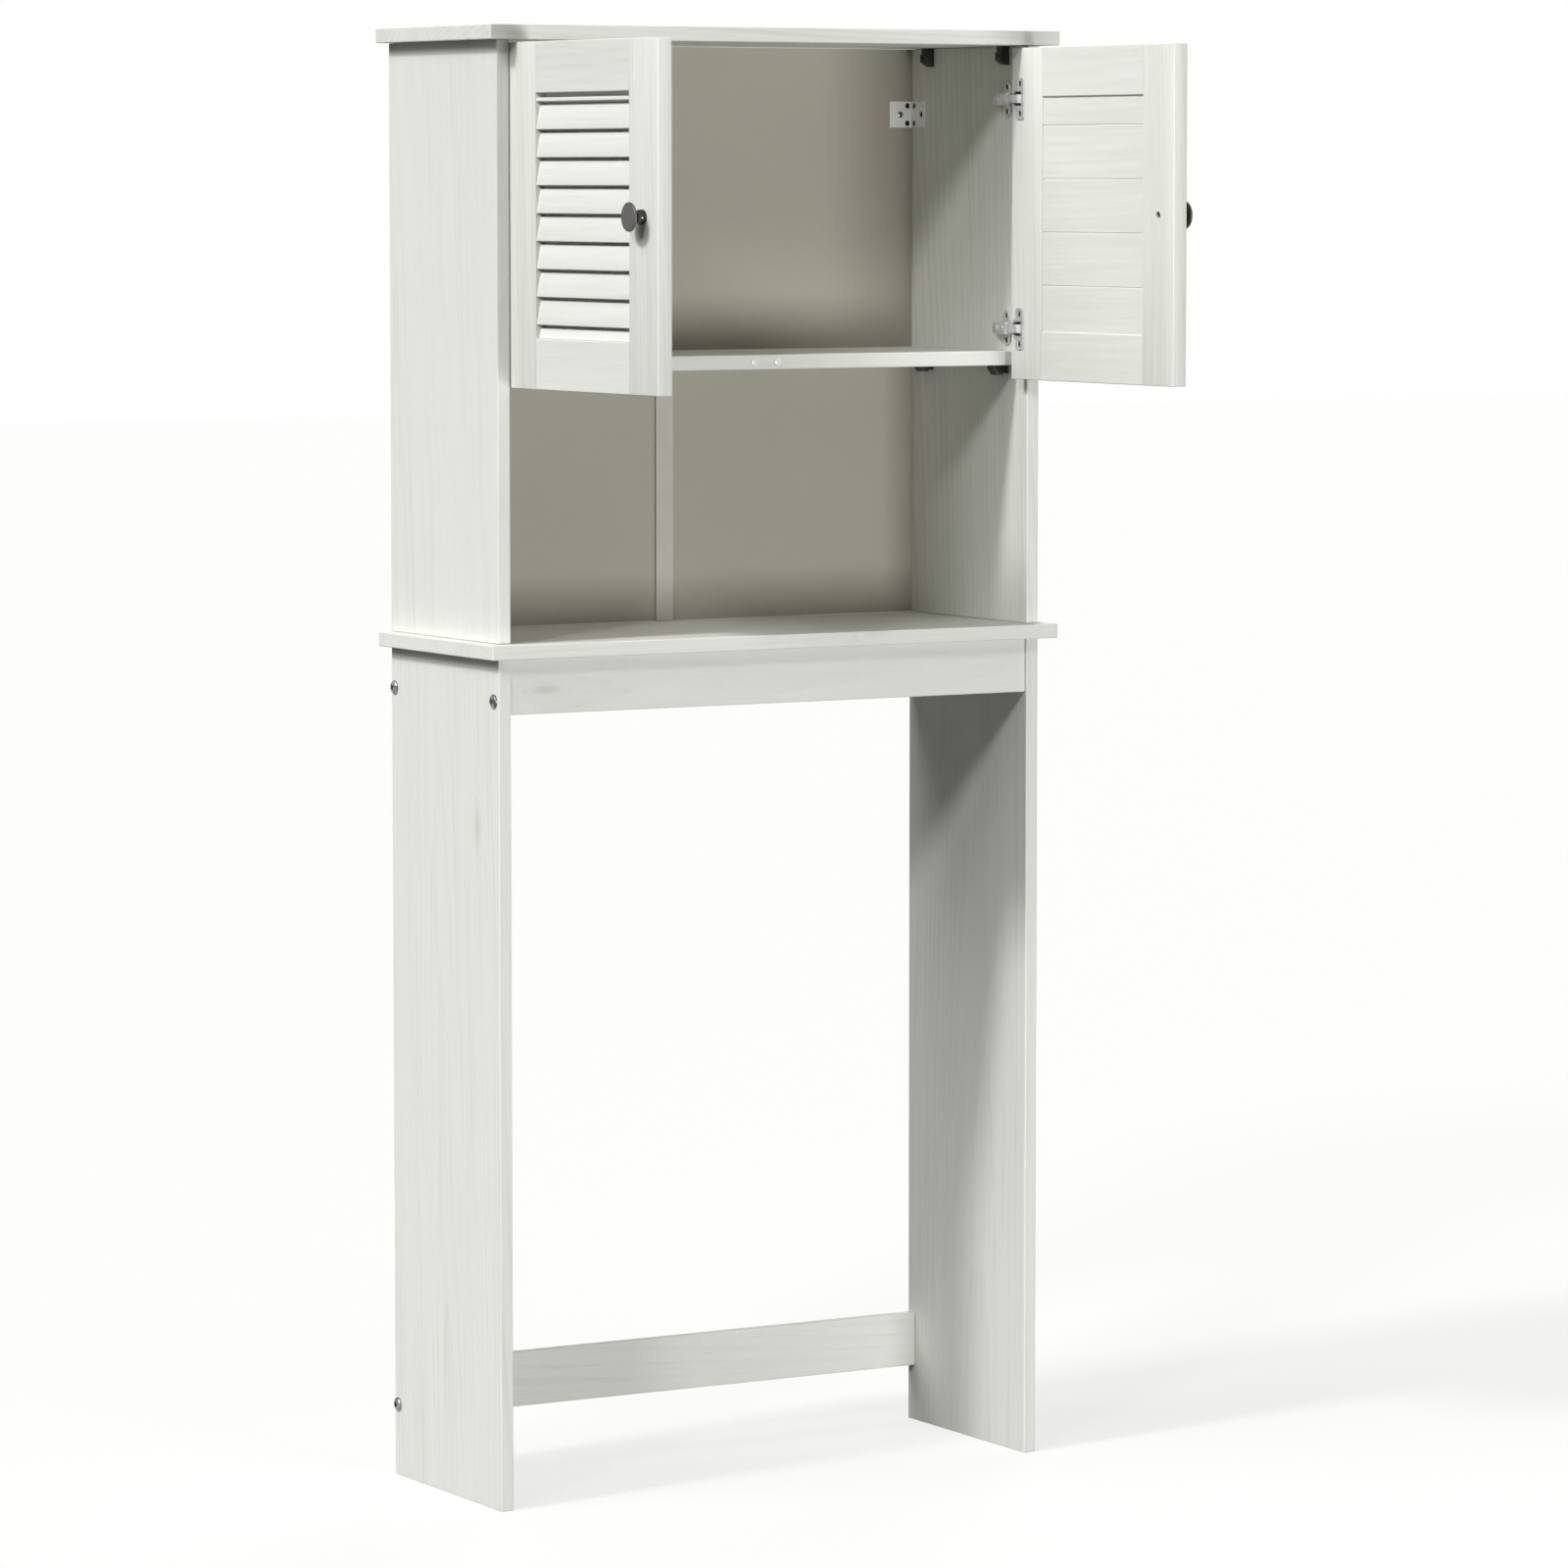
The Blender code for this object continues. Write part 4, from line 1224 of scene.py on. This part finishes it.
def makeConnectors():
    length, width = connector["length"], connector["width"]
    cutLong, cutWide = connector["cut"]
    foot, step = connector["foot"], connector["step"]
    outline = [(0, 0), (length, 0), (length, width - cutWide), (length - cutLong, width)]
    outline += [(foot, width), (foot, width - step), (0, width - step)]
    block = place("connector", plateMesh("connector", [outline], connector["depth"], connector["soft"]))
    radius, deep = connector["hole"]
    turn = moveBy(((foot + length - cutLong) / 2, width, 0)) @ turnBy(quarter, "X")
    drill = shaped("drill", rodShape(radius, 2 * deep, turn, 24))
    spots, names = [], [name for name in nodes if "_connector_" in name]
    for name in names:
        side = hands[name.split("_")[0]]
        corner = spotOn(name, side, 0, 1)
        if "_top_" in name:
            spots.append(axes((0, 0, -1), (-side, 0, 0), (0, side, 0), corner))
        else:
            spots.append(axes((-side, 0, 0), (0, 0, -1), (0, -side, 0), corner))
    setCopies("connectors", cutBy(block, drill), spots, "blackPlastic", names)


makeConnectors()
print("connectors moulded")


# Round stops on the edge of the shelf

stop = {"radius": 0.0044, "thick": 0.0014}


def makeStops():
    radius, thick = stop["radius"], stop["thick"]
    turns = (0.3, 0.6, 0.9, 1.15, 1.35, 1.5)
    profile = [(0, thick)] + [(radius * math.sin(a), thick * math.cos(a) ** 0.6) for a in turns]
    mesh = turnedMesh("stop", profile + [(radius, 0), (0, 0)], 48)
    names = [hand + "_bumper" for hand in hands]
    spots = [moveBy(spotOn(name, 0, 1, 0)) @ turnBy(quarter, "X") for name in names]
    setCopies("door_stops", mesh, spots, "milkyRubber", names)


makeStops()
print("door stops set")


# Door frames: bored stiles, and slats between them

slat = {
    "pitch": 0.0296,
    "height": 0.0265,
    "slant": 0.0056,
    "thick": 0.0038,
    "recess": 0.001,
    "tenon": 0.003,
    "nose": 0.0011,
    "firstShows": 0.0094,  # from the top rail down to the first slat's lower edge
    "topGap": 0.0050,
}


def makeStiles(hand):
    name = hand + "_door_louvre_frame"
    bottom, top = (bound.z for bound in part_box(name))
    sideways = turnBy(quarter, "X")
    tools = []
    for level in levels:
        spot = (doorX(hand, cup["set"]), door["thick"] - door["pivotInset"], hingeHeight(hand, level))
        rod = rodShape(cup["radius"] + gap, 2 * (cup["depth"] + gap), moveBy(spot) @ sideways, 64)
        tools.append(shaped("cupBore", rod))
    low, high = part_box(hand + "_door_back_panel")
    reach = door["stile"] - door["panelTongue"]
    deep, tall = (door["panelFront"], door["panelRear"]), (low.z - gap, high.z + gap)
    tools.append(shaped("panelGroove", doorBox(hand, (reach, doorWidth - reach), deep, tall)))
    spot = (doorX(hand, doorWidth - door["stile"] / 2), 0, spotOn(hand + "_door_knob", 0, 0, 0)[2])
    tools.append(shaped("knobBore", rodShape(door["knobHole"], door["drill"], moveBy(spot) @ sideways, 24)))
    wide, deep = door["knobRecess"]
    inside = moveBy((spot[0], door["thick"] - door["pivotInset"], spot[2]))
    tools.append(shaped("knobRecess", rodShape(wide, 2 * deep, inside @ sideways, 32)))
    spans = ((0, door["stile"]), (doorWidth - door["stile"], doorWidth))
    blanks = [meshFrom("stile", doorBox(hand, along, (0, door["thick"]), (bottom, top))) for along in spans]
    holder = place("stiles", joinMeshes("stiles", [(blank, asDrawn) for blank in blanks]))
    addBevel(holder, door["softEdge"])
    mesh = cutBy(holder, *tools)
    mesh.transform(hangDoor(hand))
    setPiece(hand + "_door_stiles", mesh, doorPine(hand, "stiles", name), hand + "_door", [name], 35)


def makeLouvreTree():  # a run of slanted slats, trimmed by the room between the rails
    sizes = ("Pitch", "Length", "Height", "Slant", "Thickness", "Nose")
    ins = [("Geometry", "Geometry"), ("Count", "Int")] + [(size, "Float") for size in sizes]
    tree, ins, end = geometryTree("louvreSlats", ins + [("Room", "Object"), ("Finish", "Material")])
    section = geometryNode(tree, "CurvePrimitiveQuadrilateral", mode="POINTS")
    back = calc(tree, "ADD", ins["Slant"], ins["Thickness"])
    corners = ((0, 0), (ins["Thickness"], 0), (back, ins["Height"]), (ins["Slant"], ins["Height"]))
    for row, corner in enumerate(corners):
        feed(section.inputs[f"Point {row + 1}"], shaderNode(tree, "CombineXYZ", *corner))
    nose = geometryNode(tree, "FilletCurve", section, mode="POLY", Radius=ins["Nose"], Count=3)
    fill = geometryNode(tree, "FillCurve", nose, mode="NGONS")
    sideways = shaderNode(tree, "CombineXYZ", Z=ins["Length"])
    run = geometryNode(tree, "ExtrudeMesh", fill, mode="FACES", Offset=sideways, Individual=False)
    both = geometryNode(tree, "JoinGeometry", run)
    setUp(both, geometryNode(tree, "FlipFaces", fill))
    joined = geometryNode(tree, "MergeByDistance", both, Distance=weld)
    stand = geometryNode(tree, "Transform", joined, Rotation=(quarter, 0, quarter))
    drop = shaderNode(tree, "CombineXYZ", Z=calc(tree, "MULTIPLY", ins["Pitch"], -1.0))
    line = geometryNode(tree, "MeshLine", Count=ins["Count"], Offset=drop)
    real = geometryNode(tree, "RealizeInstances", geometryNode(tree, "InstanceOnPoints", line, Instance=stand))
    room = geometryNode(tree, "ObjectInfo", ins["Room"], transform_space="ORIGINAL").outputs["Geometry"]
    trim = geometryNode(tree, "MeshBoolean", operation="INTERSECT", solver="EXACT", Mesh_2=real)
    setUp(trim, Mesh_2=room)
    setUp(end, geometryNode(tree, "SetMaterial", trim, Material=ins["Finish"]))
    layOut(tree)
    return tree


louvreTree = makeLouvreTree()


def makeSlats(hand):
    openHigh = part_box(hand + "_door_top_rail")[0].z
    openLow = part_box(hand + "_door_bottom_rail")[1].z
    inset = door["stile"] - slat["tenon"]
    edge = doorWidth - inset if hands[hand] > 0 else inset
    lowest = openHigh - slat["firstShows"]
    count = math.ceil((openHigh - openLow) / slat["pitch"]) + 1
    lay = moveBy((doorX(hand, edge), slat["recess"] - door["pivotInset"], lowest))
    tall = (openLow + gap, openHigh - slat["topGap"])
    room = shaped("slatRoom", doorBox(hand, (inset / 2, doorWidth - inset / 2), (0, door["thick"]), tall))
    room.data.transform(lay.inverted())
    name = hand + "_door_louvre_frame"
    material = doorPine(hand, "slats", name)
    sizes = {"Pitch": "pitch", "Height": "height", "Slant": "slant", "Thickness": "thick", "Nose": "nose"}
    values = {socket: slat[size] for socket, size in sizes.items()}
    values.update(Count=count, Length=doorWidth - 2 * inset, Room=room, Finish=material)
    holder = place("slatSeed", bpy.data.meshes.new("slatSeed"))
    useTree(holder, louvreTree, **values)
    mesh = bake(holder, room)
    mesh.transform(hangDoor(hand) @ lay)
    setPiece(hand + "_door_slats", mesh, material, hand + "_door", [name], 50)
    return count


for hand in hands:
    makeStiles(hand)
    print(hand, "door framed with", makeSlats(hand), "slats")


# Knobs: a flat disc on a short neck and a domed foot

knob = {
    "radius": 0.0155,
    "height": 0.018,
    "disc": 0.0030,
    "neck": 0.0041,
    "neckHeight": 0.0121,
    "foot": 0.0080,
    "footRise": 0.0095,
    "footBase": 0.0008,
    "flare": 0.0015,  # of the neck, under the disc
    "dish": (0.0006, 0.0009),  # depth of the disc's underside towards its middle
}


def discProfile():
    rim, low, radius = knob["disc"] / 2, knob["height"] - knob["disc"], knob["radius"]
    profile = [(0, knob["height"]), (radius / 2, knob["height"]), (radius - 1.6 * rim, knob["height"])]
    profile += arc((radius - rim, low + rim), rim, 75, -75, 8)
    outer, inner = (low - deep for deep in knob["dish"])
    return profile + [(radius * 0.78, outer), (radius * 0.55, inner), (0, inner)]


def footProfile():
    low, neck, foot, steps = knob["height"] - knob["disc"], knob["neck"], knob["foot"], 14
    profile = [(0, low), (neck * 1.5, low), (neck * 1.32, low - knob["flare"]), (neck, knob["neckHeight"])]
    for i in range(steps + 1):  # the dome, widest just over its seat
        turn = quarter * i / steps
        profile.append((neck + (foot - neck) * math.sin(turn), knob["footBase"] + knob["footRise"] * math.cos(turn)))
    return profile + [(foot * 0.95, 0), (0, 0)]


def makeKnobs():
    disc, foot = turnedMesh("disc", discProfile(), 80), turnedMesh("foot", footProfile(), 64)
    screw = crossHeadMesh(knobScrew)
    for hand, side in hands.items():
        name = hand + "_door_knob"
        seat = Vector(spotOn(name, -side, 0, 0))
        stand = moveBy(seat) @ turnBy(side * quarter, "Y")
        bottom = seat - Vector((side * (door["thick"] + gap - door["knobRecess"][1]), 0, 0))
        inward = moveBy(bottom) @ turnBy(-side * quarter, "Y")
        for part, mesh, lay, finish in (
            ("knob_disc", disc, stand, "knobBronze"),
            ("knob_foot", foot, stand, "knobFoot"),
            ("knob_screw", screw, inward @ turnBy(0.7, "Z"), "knobFoot"),
        ):
            copy = joinMeshes(hand + part, [(mesh, lay)])
            setPiece(f"{hand}_{part}", copy, finish, hand + "_door", [name])


makeKnobs()
print("knobs turned")


low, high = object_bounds()
